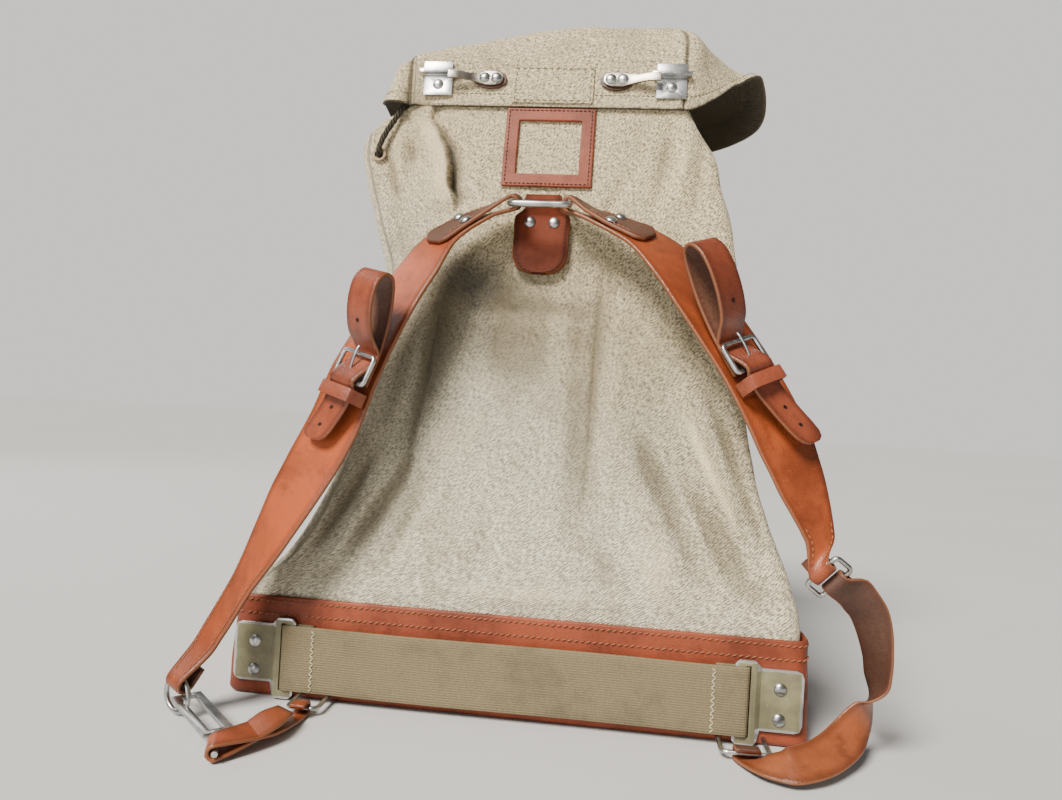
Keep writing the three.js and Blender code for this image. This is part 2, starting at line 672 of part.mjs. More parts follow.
function buildPlate() {
  const { bar, neck, end, low, high, earLow, earHigh, thick, corner, ear, chamfer, step } = PLATE;
  const [from, to] = PLATE_FACE.slope;
  const bent = [
    [bar, PLATE_FACE.head], [from + 1, PLATE_FACE.head], [to, PLATE_FACE.body], [end, PLATE_FACE.body],
    [end, PLATE_FACE.body + thick], [to - 1, PLATE_FACE.body + thick], [from, PLATE_FACE.head + thick],
    [bar, PLATE_FACE.head + thick],
  ];
  const bentShape = new THREE.Shape(bent.map(([x, y]) => new THREE.Vector2(x, y)));
  const strip = new THREE.ExtrudeGeometry(bentShape, { depth: earHigh + corner, bevelEnabled: false });
  const outline = [
    [bar, earLow + ear], [bar + ear, earLow], [neck - ear, earLow], [neck, earLow + ear], [neck + step, low],
    [end - corner, low], [end - chamfer, low + chamfer], [end, low + corner], [end, high - corner],
    [end - chamfer, high - chamfer], [end - corner, high], [neck + step, high], [neck, earHigh - ear],
    [neck - ear, earHigh], [bar + ear, earHigh], [bar, earHigh - ear],
  ];
  const shape = new THREE.Shape(outline.map(([x, z]) => new THREE.Vector2(x, z)));
  const { near, far, low: slotLow, high: slotHigh } = SLOT;
  const slot = [[near, slotLow], [near, slotHigh], [far, slotHigh], [far, slotLow]];
  shape.holes.push(new THREE.Path(slot.map(([x, z]) => new THREE.Vector2(x, z))));
  const blank = new THREE.ExtrudeGeometry(shape, { depth: BASE_EDGE - PLATE_FACE.head, bevelEnabled: false });
  blank.rotateX(Math.PI / 2).translate(0, 1, 0);
  const holes = PLATE_RIVETS.map(([x, z]) => rivetHole(V(x, PLATE_FACE.body, z), V(0, -1, 0), BASE_EDGE));
  return drilled(common(strip, blank), holes);
}

const plate = buildPlate();
add('lumbar_webbing', buildWebbing(), 'webbing');
for (const [side, label] of [[LEFT, 'left'], [RIGHT, 'right']]) {
  PLATE_RIVETS.forEach(([x, z], i) => {
    const seat = V(side * x, PLATE_FACE.body, z);
    const depth = BASE_WALL - PLATE_FACE.body;
    plateRivets.push([`plate_rivet_${label}_${i + 1}`, rivet(seat, V(0, -1, 0), depth - RIVET.gap)]);
    baseHoles.push(rivetHole(seat, V(0, -1, 0), depth + 1));
  });
}
add('lumbar_plate_left', mirrored(plate), 'paint');
add('lumbar_plate_right', plate, 'paint');
plateRivets.forEach(([name, geometry]) => add(name, geometry, 'steel'));

// Wire loops through the back wall of the base

for (const label of ['left', 'right']) {
  const { near, far, z, wire, corner, fit } = BASE_LOOP;
  const [x, half] = BASE_LOOPS[label];
  const centre = V(x, (near + far) / 2, z);
  add(`base_loop_${label}`, wireLoop(centre, X_AXIS, Y_AXIS, half, (far - near) / 2, corner, wire), 'steel');
  for (const side of [LEFT, RIGHT]) {
    const seat = V(x + side * half, -1, z);
    baseHoles.push(turned(seat, Y_AXIS, [[wire + fit, 0], [wire + fit, BASE_WALL + BASE_EDGE + 1]]));
  }
}

// Leather on the back panel

function buildFrame() {
  const { half, low, high, thick, out } = FRAME;
  const outer = panelBox(-half, half, low, high, out, out + thick);
  const window = panelBox(-WINDOW.half, WINDOW.half, WINDOW.low, WINDOW.high, out - 1, out + thick + 1);
  return drilled(outer, [window]);
}

add('window_frame', buildFrame(), 'baseLeather');
add('lid_patch', panelBox(
  -PATCH.half, PATCH.half, PATCH.low, PATCH.high, PATCH.out, PATCH.out + PATCH.thick,
), 'canvas');

// Ring at the head of the harness, and the folded tab behind it

const ringAxis = V(0, RING.far - RING.near, RING.farZ - RING.nearZ);
const ringReach = ringAxis.length() / 2;
ringAxis.normalize();
const ringUp = V(0, -ringAxis.z, ringAxis.y);
const ringCentre = V(0, (RING.near + RING.far) / 2, (RING.nearZ + RING.farZ) / 2);
add('top_ring', wireLoop(
  ringCentre, X_AXIS, ringAxis, RING.half, ringReach, RING.corner, RING.wire,
), 'steel');

function buildTab(holes) {
  const { low, wide, neck, thick, out, spread } = TAB;
  const bar = V(0, RING.far, RING.farZ);
  const radius = RING.wire + EYE_SLACK + thick / 2;
  const sides = (at, width) => ({
    a: at.clone().addScaledVector(X_AXIS, -width / 2), b: at.clone().addScaledVector(X_AXIS, width / 2),
  });
  const [neckUp, neckLift] = TAB_NECK;
  const foot = [
    ...TAB_ROWS.map(([up, share, lift]) => [low + up, wide * share, lift]), [low + neckUp, neck, neckLift],
  ];
  const layer = (depth, share) => foot.map(([z, width, lift]) => (
    sides(onPanel(0, z, depth + lift * share), width)
  ));
  const turn = halfTurn(
    bar.clone().addScaledVector(X_AXIS, -neck / 2), bar.clone().addScaledVector(X_AXIS, neck / 2),
    radius, PANEL_OUT, PANEL_UP,
  );
  const rows = [...layer(out + spread, 1), ...turn, ...layer(out, 0).reverse()];
  return drilled(banded(rows, thick), holes);
}

const tabHoles = [];
[LEFT, RIGHT].forEach((side, i) => {
  const seat = onPanel(side * TAB.rivetX, TAB.rivetZ, TAB.out + TAB.spread + TAB.thick / 2);
  const depth = TAB.out + TAB.spread + TAB.thick / 2 - RIVET.gap;
  add(`tab_rivet_${i + 1}`, rivet(seat, PANEL_OUT, depth), 'steel');
  tabHoles.push(rivetHole(seat, PANEL_OUT, depth + 1));
});
add('ring_tab', buildTab(tabHoles), 'baseLeather');

// Shoulder straps: a tongue on top, a turn round the side of the ring, then down to the lower fitting

function placed(table) {
  const rows = table.map(([x, y, z, width, fx, fy, fz]) => ({ at: V(x, y, z), out: V(fx, fy, fz), width }));
  rows.forEach(({ out }, i) => {
    const before = rows[Math.max(i - 1, 0)].at;
    const along = rows[Math.min(i + 1, rows.length - 1)].at.clone().sub(before).normalize();
    out.addScaledVector(along, -out.dot(along)).normalize();
  });
  return rows;
}

// End of a strap turned round a bar and laid back along itself
function foldedEnd(last, bar, axis, width, radius, tail, front) {
  const along = bar.clone().sub(last.at);
  const across = axis.clone().normalize();
  if (across.dot(along.clone().cross(last.out)) < 0) across.negate();
  along.addScaledVector(across, -along.dot(across)).normalize();
  const from = along.clone().cross(across).normalize();
  if (from.dot(front) < 0) from.negate();
  const a = bar.clone().addScaledVector(across, -width / 2);
  const b = bar.clone().addScaledVector(across, width / 2);
  const rows = halfTurn(a, b, radius, from, along);
  const end = rows[rows.length - 1];
  const back = along.clone().multiplyScalar(-tail);
  rows.push({ a: end.a.clone().add(back), b: end.b.clone().add(back) });
  return rows;
}

function shoulderStrap(table, side, fitting) {
  const main = placed(table);
  const slope = (RING.farZ - RING.nearZ) / (RING.far - RING.near);
  const bar = V(side * RING.half, RING.grip, RING.nearZ + (RING.grip - RING.near) * slope);
  const radius = RING.wire + EYE_SLACK + STRAP / 2;
  const tongue = [2, 1, 0].map((i) => ({
    at: main[i].at.clone().addScaledVector(main[i].out, TONGUE.lift[2 - i]),
    out: main[i].out,
    width: TONGUE.wide,
  }));
  const down = main[3].at.clone().sub(main[2].at).normalize();
  const tipAt = tongue[0].at.clone().addScaledVector(down, TONGUE.past);
  const tip = { at: tipAt, out: main[2].out, width: TONGUE.tip };
  const across = ringAxis.clone().multiplyScalar(side * EYE_WIDE / 2);
  const eye = halfTurn(bar.clone().sub(across), bar.clone().add(across), radius, ringUp, V(-side, 0, 0));
  const under = main.map(({ at, out, width }) => ({ at, out: out.clone().negate(), width }));
  const last = under[under.length - 1];
  const { bar: fittingBar, axis, width: endWidth, radius: endRadius } = fitting;
  const front = last.out.clone().negate();
  const end = foldedEnd(last, fittingBar, axis, endWidth, endRadius, STRAP_END.tail, front);
  const rows = [...edges([tip, ...smooth(tongue, 2)]), ...eye, ...edges(smooth(under, 2)), ...end];
  const holes = [];
  const { at, out } = tongue[1];
  const wide = tongue[2].at.clone().sub(tongue[0].at).cross(out).normalize();
  [LEFT, RIGHT].forEach((turn, i) => {
    const seat = at.clone().addScaledVector(wide, turn * TONGUE.wide * TONGUE.rivets)
      .addScaledVector(out, STRAP / 2 + TONGUE.proud);
    const depth = TONGUE.lift[1] + STRAP - RIVET.gap;
    add(`strap_rivet_${side === LEFT ? 'left' : 'right'}_${i + 1}`, rivet(seat, out, depth), 'steel');
    holes.push(rivetHole(seat, out, depth + 1));
  });
  return drilled(banded(rows, STRAP), holes);
}

// Round ring on the left: the strap end goes over the top of its wire
const ringTurn = RING_LEFT.turn.clone().normalize();
const strapFoot = V(...STRAP_LEFT[STRAP_LEFT.length - 1].slice(0, 3)).sub(RING_LEFT.at);
const ringTop = ringTurn.clone().multiplyScalar(strapFoot.dot(ringTurn))
  .addScaledVector(Z_AXIS, strapFoot.z).normalize();
const leftFitting = {
  bar: RING_LEFT.at.clone().addScaledVector(ringTop, RING_LEFT.radius - RING_LEFT.sag),
  axis: ringTop.clone().cross(ringTurn.clone().cross(Z_AXIS)),
  width: STRAP_END.ring,
  radius: RING_LEFT.wire + RING_LEFT.sag + EYE_SLACK + STRAP / 2,
};
const linkSpan = LINK.span.clone().normalize();
const linkBar = LINK.bar.clone().addScaledVector(linkSpan, -LINK.bar.dot(linkSpan)).normalize();
const rightFitting = {
  bar: LINK.at.clone().addScaledVector(linkSpan, -LINK.reach),
  axis: linkBar,
  width: STRAP_END.link,
  radius: LINK_WIRE + EYE_SLACK + STRAP / 2,
};
add('shoulder_strap_left', shoulderStrap(STRAP_LEFT, LEFT, leftFitting), 'strapLeather');
add('shoulder_strap_right', shoulderStrap(STRAP_RIGHT, RIGHT, rightFitting), 'strapLeather');
add('strap_ring_left', wireLoop(
  RING_LEFT.at, ringTurn, Z_AXIS, RING_LEFT.radius, RING_LEFT.radius, RING_LEFT.radius, RING_LEFT.wire, 4,
), 'steel');
add('strap_link_right', wireLoop(
  LINK.at, linkBar, linkSpan, LINK.half, LINK.reach, LINK.corner, LINK_WIRE,
), 'steel');

// Accessory loops with their buckles and keepers, in the frame of the strap under them

function strapFrame(table, { row, slide, shift }, side) {
  const main = placed(table);
  const along = main[row + 1].at.clone().sub(main[row - 1].at).normalize();
  const out = main[row].out.clone().addScaledVector(along, -main[row].out.dot(along)).normalize();
  const inward = along.clone().cross(out).normalize();
  if (inward.x * side > 0) inward.negate();
  const place = (t, n, b) => main[row].at.clone().addScaledVector(along, t + slide)
    .addScaledVector(out, n).addScaledVector(inward, b + shift);
  return { along, out, inward, place };
}

function keeperBand({ along, out, inward, place }) {
  const { at, out: rise, side, half, rise: halfRise, corner, thick, long } = KEEPER;
  const centre = place(at, rise, side);
  const rings = [];
  const quarters = [[1, 1, 0], [-1, 1, 1], [-1, -1, 2], [1, -1, 3]];
  for (const [su, sv, quarter] of quarters) {
    for (const share of [0, 0.5, 1]) {
      const a = (quarter + share) * (Math.PI / 2);
      const away = inward.clone().multiplyScalar(Math.cos(a)).addScaledVector(out, Math.sin(a));
      const middle = centre.clone().addScaledVector(inward, su * (half - corner))
        .addScaledVector(out, sv * (halfRise - corner));
      const spot = (depth, reach) => middle.clone().addScaledVector(away, corner + depth)
        .addScaledVector(along, reach);
      rings.push([
        spot(-thick / 2, -long / 2), spot(thick / 2, -long / 2),
        spot(thick / 2, long / 2), spot(-thick / 2, long / 2),
      ]);
    }
  }
  return loft(rings, true);
}

for (const [side, label, table, loop] of [
  [LEFT, 'left', STRAP_LEFT, LOOP_LEFT], [RIGHT, 'right', STRAP_RIGHT, LOOP_RIGHT],
]) {
  const frame = strapFrame(table, loop, side);
  const { along, out, inward, place } = frame;
  const rows = smooth(LOOP_ROWS.map(([t, n, b, width]) => {
    const tail = Math.max(0, (t - LOOP_TAIL.from) / (LOOP_TAIL.tip - LOOP_TAIL.from));
    const bow = Math.max(0, (t - LOOP_BOW.from) / (LOOP_BOW.top - LOOP_BOW.from));
    return { at: place(t + loop.longer * tail - loop.taller * bow, n, b + loop.over * tail), out, width };
  }), 2);
  const sewn = rows.map(({ at, width }) => ({
    a: at.clone().addScaledVector(inward, -width / 2), b: at.clone().addScaledVector(inward, width / 2),
  }));
  const hole = [PRONG.holeFrom, PRONG.holeTo].map((n) => [PRONG.hole, n]);
  const strap = drilled(banded(sewn, LOOP.thick), [turned(place(PRONG.holeAt, 0, PRONG.side), out, hole)]);
  add(`loop_strap_${label}`, strap, 'loopLeather');
  const buckle = wireLoop(
    place(BUCKLE.at, BUCKLE.out, BUCKLE.side), inward, along,
    BUCKLE.half, BUCKLE.reach, BUCKLE.corner, BUCKLE.wire,
  );
  add(`buckle_frame_${label}`, buckle, 'steel');
  const prong = PRONG_ROWS.map(([t, n]) => place(t, n, PRONG.side));
  add(`buckle_prong_${label}`, rod(prong, PRONG.thick), 'steel');
  add(`loop_keeper_${label}`, keeperBand(frame), 'loopLeather');
}

// Clasps of the lid

function buildClaspPlate(side) {
  const { x, half, low, high, thick, flap, flapOut } = CLASP;
  const { half: bar, z: barZ, rise, sunk } = CLASP_BAR;
  const base = LID_OUT + CLASP.gap;
  const [from, to] = [side * x - half, side * x + half];
  return joinedUp(
    panelBox(from, to, low, high, base, base + thick),
    panelBox(from, to, high - thick, high, base, base + flapOut),
    panelBox(from, to, high - flap, high, base + flapOut - thick, base + flapOut),
    panelBox(
      side * x - bar, side * x + bar, barZ - rise, barZ + rise, base + thick - sunk, base + flapOut - sunk,
    ),
  );
}

function buildArm(side) {
  const rows = ARM_ROWS.map(([x, out, width]) => ({
    a: onPanel(side * x, ARM.z, LID_OUT + out).addScaledVector(PANEL_UP, -width / 2),
    b: onPanel(side * x, ARM.z, LID_OUT + out).addScaledVector(PANEL_UP, width / 2),
  }));
  return banded(rows, ARM.thick);
}

function buildBacking(side) {
  const { from, to, half, thick, gap, sides } = BACKING;
  const middle = side * (from + to) / 2;
  const ring = (out) => Array.from({ length: sides }, (_, i) => {
    const a = (i / sides) * 2 * Math.PI;
    const across = middle + ((to - from) / 2) * Math.cos(a);
    return onPanel(across, ARM.z, out).addScaledVector(PANEL_UP, half * Math.sin(a));
  });
  return loft([ring(LID_OUT + gap), ring(LID_OUT + gap + thick)]);
}

for (const [side, label] of [[LEFT, 'left'], [RIGHT, 'right']]) {
  const footFace = LID_OUT + ARM_ROWS[2][1] + ARM.thick / 2;
  const feet = CLASP_RIVETS.map(([x, z]) => onPanel(side * x, z, footFace));
  const cupFace = LID_OUT + CLASP.gap + CLASP.thick;
  const cup = onPanel(side * CUP_RIVET[0], CUP_RIVET[1], cupFace);
  const footHoles = feet.map((seat) => rivetHole(seat, PANEL_OUT, footFace));
  const cupHole = rivetHole(cup, PANEL_OUT, cupFace);
  lidHoles.push(...footHoles, cupHole);
  add(`clasp_plate_${label}`, drilled(buildClaspPlate(side), [cupHole]), 'steel');
  add(`clasp_arm_${label}`, drilled(buildArm(side), footHoles), 'steel');
  add(`clasp_backing_${label}`, drilled(buildBacking(side), footHoles), 'baseLeather');
  [...feet, cup].forEach((seat, i) => {
    const depth = (i < feet.length ? footFace : cupFace) - 1;
    add(`clasp_rivet_${label}_${i + 1}`, rivet(seat, PANEL_OUT, depth), 'steel');
  });
}

// Left hook: a flat frame with a pin, held by the leather tab that ties it to the base

const hookAlong = HOOK.along.clone().normalize();
const hookAcross = V(-hookAlong.y, hookAlong.x, 0).normalize();
const hookUp = hookAlong.clone().cross(hookAcross);
const pinAlong = HOOK_PIN.along.clone().normalize();
const pinFoot = HOOK.at.clone().addScaledVector(hookAlong, HOOK.long);
const pinPoint = (way) => pinFoot.clone().addScaledVector(pinAlong, way);

function hookBox(from, to, half, rise) {
  const ring = (up) => [[from, -half], [to, -half], [to, half], [from, half]].map(([way, over]) => (
    HOOK.at.clone().addScaledVector(hookAlong, way).addScaledVector(hookAcross, over)
      .addScaledVector(hookUp, up)
  ));
  return loft([ring(-rise), ring(rise)]);
}

function buildHook() {
  const { gap, bar, long, thick } = HOOK;
  const { heel, toe, root } = HOOK_BARS;
  const { radius, long: pinLong } = HOOK_PIN;
  const plate = hookBox(-heel, long, gap / 2 + bar, thick / 2);
  const frame = drilled(plate, [hookBox(heel, long - toe, gap / 2, thick)]);
  return joinedUp(frame, turned(pinPoint(-root), pinAlong, [[radius, 0], [radius, pinLong + root]]));
}

function buildTie() {
  const { thick, from, to, tail, midA, midB, layer, inset } = TIE;
  const { near, z, wire } = BASE_LOOP;
  const loopRadius = wire + EYE_SLACK + thick / 2;
  const pinRadius = HOOK_PIN.radius + EYE_SLACK + thick / 2;
  const loopTurn = halfTurn(V(from, near, z), V(to, near, z), loopRadius, Z_AXIS, Y_AXIS);
  const tailEnd = { a: loopTurn[0].a.clone().setY(near - tail), b: loopTurn[0].b.clone().setY(near - tail) };
  const away = V(pinAlong.y, -pinAlong.x, 0).normalize();
  const up = pinAlong.clone().cross(away);
  const [pinA, pinB] = [pinPoint(inset[0]), pinPoint(HOOK_PIN.long - inset[1])];
  const pinTurn = halfTurn(pinA, pinB, pinRadius, up.clone().negate(), away);
  const lowZ = (loopTurn[loopTurn.length - 1].a.z + pinTurn[0].a.z) / 2;
  const middle = (height) => ({ a: midA.clone().setZ(height), b: midB.clone().setZ(height) });
  const short = {
    a: midA.clone().add(V(from, near, 0)).divideScalar(2).setZ(lowZ + layer),
    b: midB.clone().add(V(to, near, 0)).divideScalar(2).setZ(lowZ + layer),
  };
  return banded([tailEnd, ...loopTurn, middle(lowZ), ...pinTurn, middle(lowZ + layer), short], thick);
}

add('strap_hook_left', buildHook(), 'steel');
add('hook_tab_left', buildTie(), 'strapLeather');

// Lower strap on the right

function buildLowerStrap() {
  const rows = placed(LOWER_ROWS);
  const bar = LINK.at.clone().addScaledVector(linkSpan, LINK.reach);
  const { thick, eye, tail, footTail } = LOWER;
  const first = { at: rows[0].at, out: rows[0].out.clone().negate() };
  const headRadius = LINK_WIRE + EYE_SLACK + thick / 2;
  const head = foldedEnd(first, bar, linkBar, eye, headRadius, tail, rows[0].out).reverse();
  const last = rows[rows.length - 1];
  const loopBar = V(BASE_LOOPS.right[0], BASE_LOOP.near, BASE_LOOP.z);
  const radius = BASE_LOOP.wire + EYE_SLACK + thick / 2;
  const foot = foldedEnd(last, loopBar, X_AXIS, eye, radius, footTail, V(0, 0, -1));
  return banded([...head, ...edges(smooth(rows, 2)), ...foot], thick);
}

add('lower_strap_right', buildLowerStrap(), 'strapLeather');

// Mouth cord through its eyelet

function sackNormal(around, z) {
  const step = 0.01;
  const side = sackPoint((around + step) % AROUND, z).sub(sackPoint((around - step + AROUND) % AROUND, z));
  const up = sackPoint(around % AROUND, z + 1).sub(sackPoint(around % AROUND, z - 1));
  return side.cross(up).normalize();
}

const eyeletAt = sackPoint(EYELET.around % AROUND, EYELET.z);
const eyeletOut = sackNormal(EYELET.around, EYELET.z);
const [eyeletU, eyeletV] = sideways(eyeletOut);
sackHoles.push(turned(eyeletAt, eyeletOut, [[EYELET.hole, EYELET.from], [EYELET.hole, EYELET.to]]));
add('eyelet_left', loft(EYELET_PROFILE.map(([radius, out]) => (
  circle(eyeletAt.clone().addScaledVector(eyeletOut, out), eyeletU, eyeletV, radius, EYELET.sides)
)), true), 'steel');
const cordRoute = new THREE.CatmullRomCurve3(CORD_ROWS.map(([around, z, out]) => (
  sackPoint(around % AROUND, z).addScaledVector(sackNormal(around, z), out)
)));
add('drawstring', rod(cordRoute.getPoints(CORD_STEPS), CORD), 'cord');

// The three large pieces, with their holes

add('sack', drilled(buildSack(), sackHoles), 'canvas');
add('lid', drilled(buildLid(), lidHoles), 'canvas');
add('leather_base', drilled(buildBase(), baseHoles), 'baseLeather');

export default group;
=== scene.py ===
"""Army mountain rucksack of canvas and leather: the finish of every piece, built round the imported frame."""

import math

import bpy
import numpy as np
from mathutils import Matrix, Vector, noise


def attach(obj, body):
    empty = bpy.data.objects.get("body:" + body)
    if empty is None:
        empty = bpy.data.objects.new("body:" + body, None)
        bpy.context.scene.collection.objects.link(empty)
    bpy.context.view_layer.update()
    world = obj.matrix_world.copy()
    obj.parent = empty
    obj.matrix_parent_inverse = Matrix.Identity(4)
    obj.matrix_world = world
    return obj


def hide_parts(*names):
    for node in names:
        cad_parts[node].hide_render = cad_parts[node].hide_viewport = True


bl_info = {
    "name": "Army rucksack",
    "version": (1, 0, 0),
    "blender": (4, 5, 0),
    "location": "3D View > Sidebar > Rucksack",
    "description": "Models and finishes an army rucksack of canvas and leather",
    "category": "Object",
}

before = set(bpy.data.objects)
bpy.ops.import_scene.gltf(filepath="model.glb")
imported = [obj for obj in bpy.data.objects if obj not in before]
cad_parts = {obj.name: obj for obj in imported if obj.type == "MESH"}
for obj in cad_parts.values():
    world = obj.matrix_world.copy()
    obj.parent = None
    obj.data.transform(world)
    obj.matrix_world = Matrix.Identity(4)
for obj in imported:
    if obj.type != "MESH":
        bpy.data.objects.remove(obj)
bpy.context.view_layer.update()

# Sizes are in millimetres, with y = 0 at the back face of the base; metres() takes them to the frame
MM = 0.001
BASE_HALF = 202.5
BASE_TOP_HALF = 198.5
BASE_DEPTH = 175
BASE_HEIGHT = 70.6
BASE_CORNER = 28
BASE_BACK_CORNER = 11
BASE_WALL = 3
BASE_EDGE = 5
BASE_FILLET = 3
FRAME_SHIFT = np.array([0, -BASE_DEPTH / 2, 0])

# Canvas sack; columns: height, left, right, back, front, corner radius, tuck of the sides
PANEL_LEAN = math.radians(10.7)
PANEL_FOOT = 70
CANVAS = 2
SACK_FOOT = 12
SACK_BACK_CORNER = 9
FRONT_BELLY = 12
BELLY_TUCK = 8
SACK_SECTIONS = np.array([
    [12, -193, 194, 3.6, 171.4, 24, 0],
    [72, -193, 194, 3.6, 171.4, 24, 0],
    [100, -167, 187, 5.7, 184, 24, 4],
    [125, -152, 178, 10.4, 190, 24, 8],
    [185, -133, 159, 21.7, 198, 26, 14],
    [240, -125, 152, 32.1, 198, 26, 16],
    [295, -117, 148, 42.5, 194, 24, 14],
    [355, -134, 142, 53.9, 186, 20, 10],
    [385, -144, 134, 59.5, 180, 18, 6],
    [410, -150, 127, 64.2, 174, 16, 4],
    [445, -146, 107, 70.8, 164, 16, 2],
    [470, -130, 100, 75.6, 158, 16, 0],
])

# Mouth; columns: place round the sack (whole numbers end a side or a corner), height
MOUTH = np.array([
    [0, 424], [0.04, 435], [0.09, 443], [0.157, 451], [0.9, 452], [2, 446], [3, 442],
    [4, 440], [5, 438], [6, 428], [7, 411], [8, 424],
])
AROUND = 8

# Creases of the back panel; columns: x and z of both ends, half width, depth
CREASES = [
    [-88, 428, -73, 372, 7, 12],
    [-108, 416, -106, 396, 6, 4],
    [-70, 300, -88, 150, 12, 4],
    [48, 320, 44, 130, 14, 3],
    [150, 96, 92, 190, 11, 7],
    [168, 90, 128, 165, 8, 5],
    [-130, 92, -84, 170, 12, 6],
    [-60, 78, 60, 80, 10, -3],
    [-40, 268, 14, 268, 54, 7],
]
# Finer folds of the cloth, same columns
FOLDS = [
    [-117, 424, -113, 388, 5, -3.5],
    [-124, 404, -113, 366, 3.5, 3],
    [-62, 376, -38, 334, 5, 2.5],
    [-50, 400, -44, 372, 4, 2],
    [66, 400, 40, 344, 6, 2.5],
    [92, 434, 82, 356, 5, 3],
    [106, 430, 98, 368, 5, -3],
    [116, 420, 112, 366, 4, 3],
    [30, 300, 36, 150, 7, 2],
    [47, 318, 44, 140, 2.6, 2.4],
    [62, 296, 58, 160, 8, -2.5],
    [-72, 300, -87, 150, 2.8, 2.6],
    [-94, 296, -104, 190, 6, 3],
    [-86, 250, -110, 150, 7, -3.5],
    [-100, 190, -150, 98, 5, 4.5],
    [-88, 180, -136, 92, 5, -4],
    [-62, 168, -98, 90, 7, 3.5],
    [108, 222, 162, 108, 5, -5.5],
    [76, 200, 130, 90, 6, 6],
    [92, 196, 144, 96, 4.5, -4.5],
    [126, 232, 168, 126, 4.5, 5.5],
    [138, 240, 172, 150, 5, -3],
    [40, 128, 88, 84, 8, 2.6],
    [-20, 146, -32, 84, 9, 2],
    [-52, 288, 40, 286, 6, 2.4],
    [-40, 276, 34, 272, 7, -1.6],
    [100, 336, 120, 250, 7, 3],
    [-30, 190, 10, 150, 12, 1.6],
]
# Line of the deep fold beside the lid's left clasp; columns: x, z, share of its depth
PLEAT_LINE = np.array([
    [-68, 358, 0], [-70, 370, 0.75], [-75, 381, 1], [-76, 397, 1],
    [-80, 411, 1], [-86, 422, 0.85], [-94, 434, 0.3],
])
PLEAT = {"bulge": 5, "bulge_half": 15, "deep": 11, "deep_half": 7.5, "wall": 3.4}
CREASE_END = 0.35
CREASE_FADE = (2, 20)

# Lid; row by row round it: hem, turn of the skirt, edge of the top
LID_OUT = 3.4
LID_CENTRE = (4, 140, 521)
LID_INSIDE = (0, 140, 455)
LID_POLE = 0.98
HEM = 446
BAND_TOP = 485


def panel_y(z):
    """Depth of the leaning back panel at a height."""
    return (z - PANEL_FOOT) * math.tan(PANEL_LEAN)


HEM_Y = panel_y(HEM) - LID_OUT / math.cos(PANEL_LEAN)
BAND_Y = panel_y(BAND_TOP) - LID_OUT / math.cos(PANEL_LEAN)
LID_ROWS = np.array([
    [[-108, HEM_Y, HEM], [-110, BAND_Y, BAND_TOP], [-104, 92, 496]],
    [[-70, HEM_Y, HEM], [-70, BAND_Y, BAND_TOP], [-66, 94, 507]],
    [[0, HEM_Y, HEM], [0, BAND_Y, BAND_TOP], [0, 95, 519]],
    [[55, HEM_Y, HEM], [55, BAND_Y, BAND_TOP], [52, 95, 521]],
    [[97, HEM_Y, HEM], [98, BAND_Y, BAND_TOP], [92, 95, 520]],
    [[107, HEM_Y + 1, HEM + 1], [109, BAND_Y + 1, BAND_TOP], [105, 96, 518]],
    [[124, 80, 459], [122, 92, 488], [114, 106, 515]],
    [[144, 106, 481], [138, 114, 497], [118, 122, 513]],
    [[166, 130, 497], [150, 138, 502], [124, 142, 509]],
    [[173, 152, 470], [162, 158, 492], [124, 160, 506]],
    [[155, 186, 460], [148, 188, 482], [114, 178, 502]],
    [[40, 206, 441], [40, 200, 474], [36, 182, 509]],
    [[-60, 204, 440], [-58, 199, 472], [-52, 180, 505]],
    [[-140, 186, 450], [-131, 184, 472], [-108, 172, 488]],
    [[-155, 138, 472], [-141, 140, 481], [-116, 138, 490]],
    [[-145, 102, 459], [-134, 102, 479], [-115, 110, 490]],
    [[-121, 57, 445], [-124, 74, 478], [-113, 96, 491]],
], float)
PATCH = {"half": 31.4, "low": 447.5, "high": 478.5, "thick": 1.2, "out": 3.8, "bevel": 0.4, "cuts": 24}
FRAME = {"half": 34.4, "low": 380, "high": 445, "thick": 2.4, "out": 0.5, "bevel": 0.8, "cuts": 6,
         "window": 24}

# Ring at the head of the harness and the tab that holds it
RING = {"half": 21, "near": 18, "near_z": 358, "far": 49.5, "far_z": 367, "grip": 34,
        "wire": 2.4, "corner": 5}
TAB = {"low": 312, "wide": 41, "neck": 27, "thick": 2.6, "out": 2.2, "spread": 3.1}
TAB_ROWS = [[0, 0.3, 0], [0.6, 0.44, 0], [1.5, 0.58, 0], [3.4, 0.74, 0], [6, 0.86, 0], [10, 0.96, 0],
            [14, 1, 0], [28, 1, 0], [43, 1, 0], [45.5, 0.85, 1.2]]
TAB_NECK = (48.5, 2.9)

# Shoulder straps; columns: x, y, z, width, facing x, y, z
STRAP = 3
EYE_WIDE = 20
EYE_SLACK = 1
TONGUE = {"wide": 24, "tip": 13, "lift": (3.8, 3.8, 5.6), "past": 6}
STRAP_LEFT = [
    [-35, 33, 353, 22, -0.2, -0.25, 0.95],
    [-54, 27, 343, 26, -0.35, -0.55, 0.76],
    [-70, 20, 330, 34, -0.45, -0.72, 0.53],
    [-82, 10, 308, 44, -0.5, -0.76, 0.4],
    [-96, 2, 281, 48, -0.53, -0.77, 0.35],
    [-108, -4, 254, 49, -0.5, -0.8, 0.32],
    [-118, -9, 229, 49, -0.44, -0.84, 0.3],
    [-128, -13, 197, 48, -0.38, -0.87, 0.3],
    [-140.5, -16, 169, 47, -0.36, -0.88, 0.3],
    [-153.5, -20, 142, 44, -0.4, -0.86, 0.3],
    [-167, -24, 112, 38, -0.5, -0.8, 0.3],
    [-180.5, -28, 84, 30, -0.6, -0.74, 0.28],
    [-190.5, -33, 62, 26, -0.54, -0.79, 0.28],
    [-199, -40, 43, 21, -0.44, -0.86, 0.28],
]
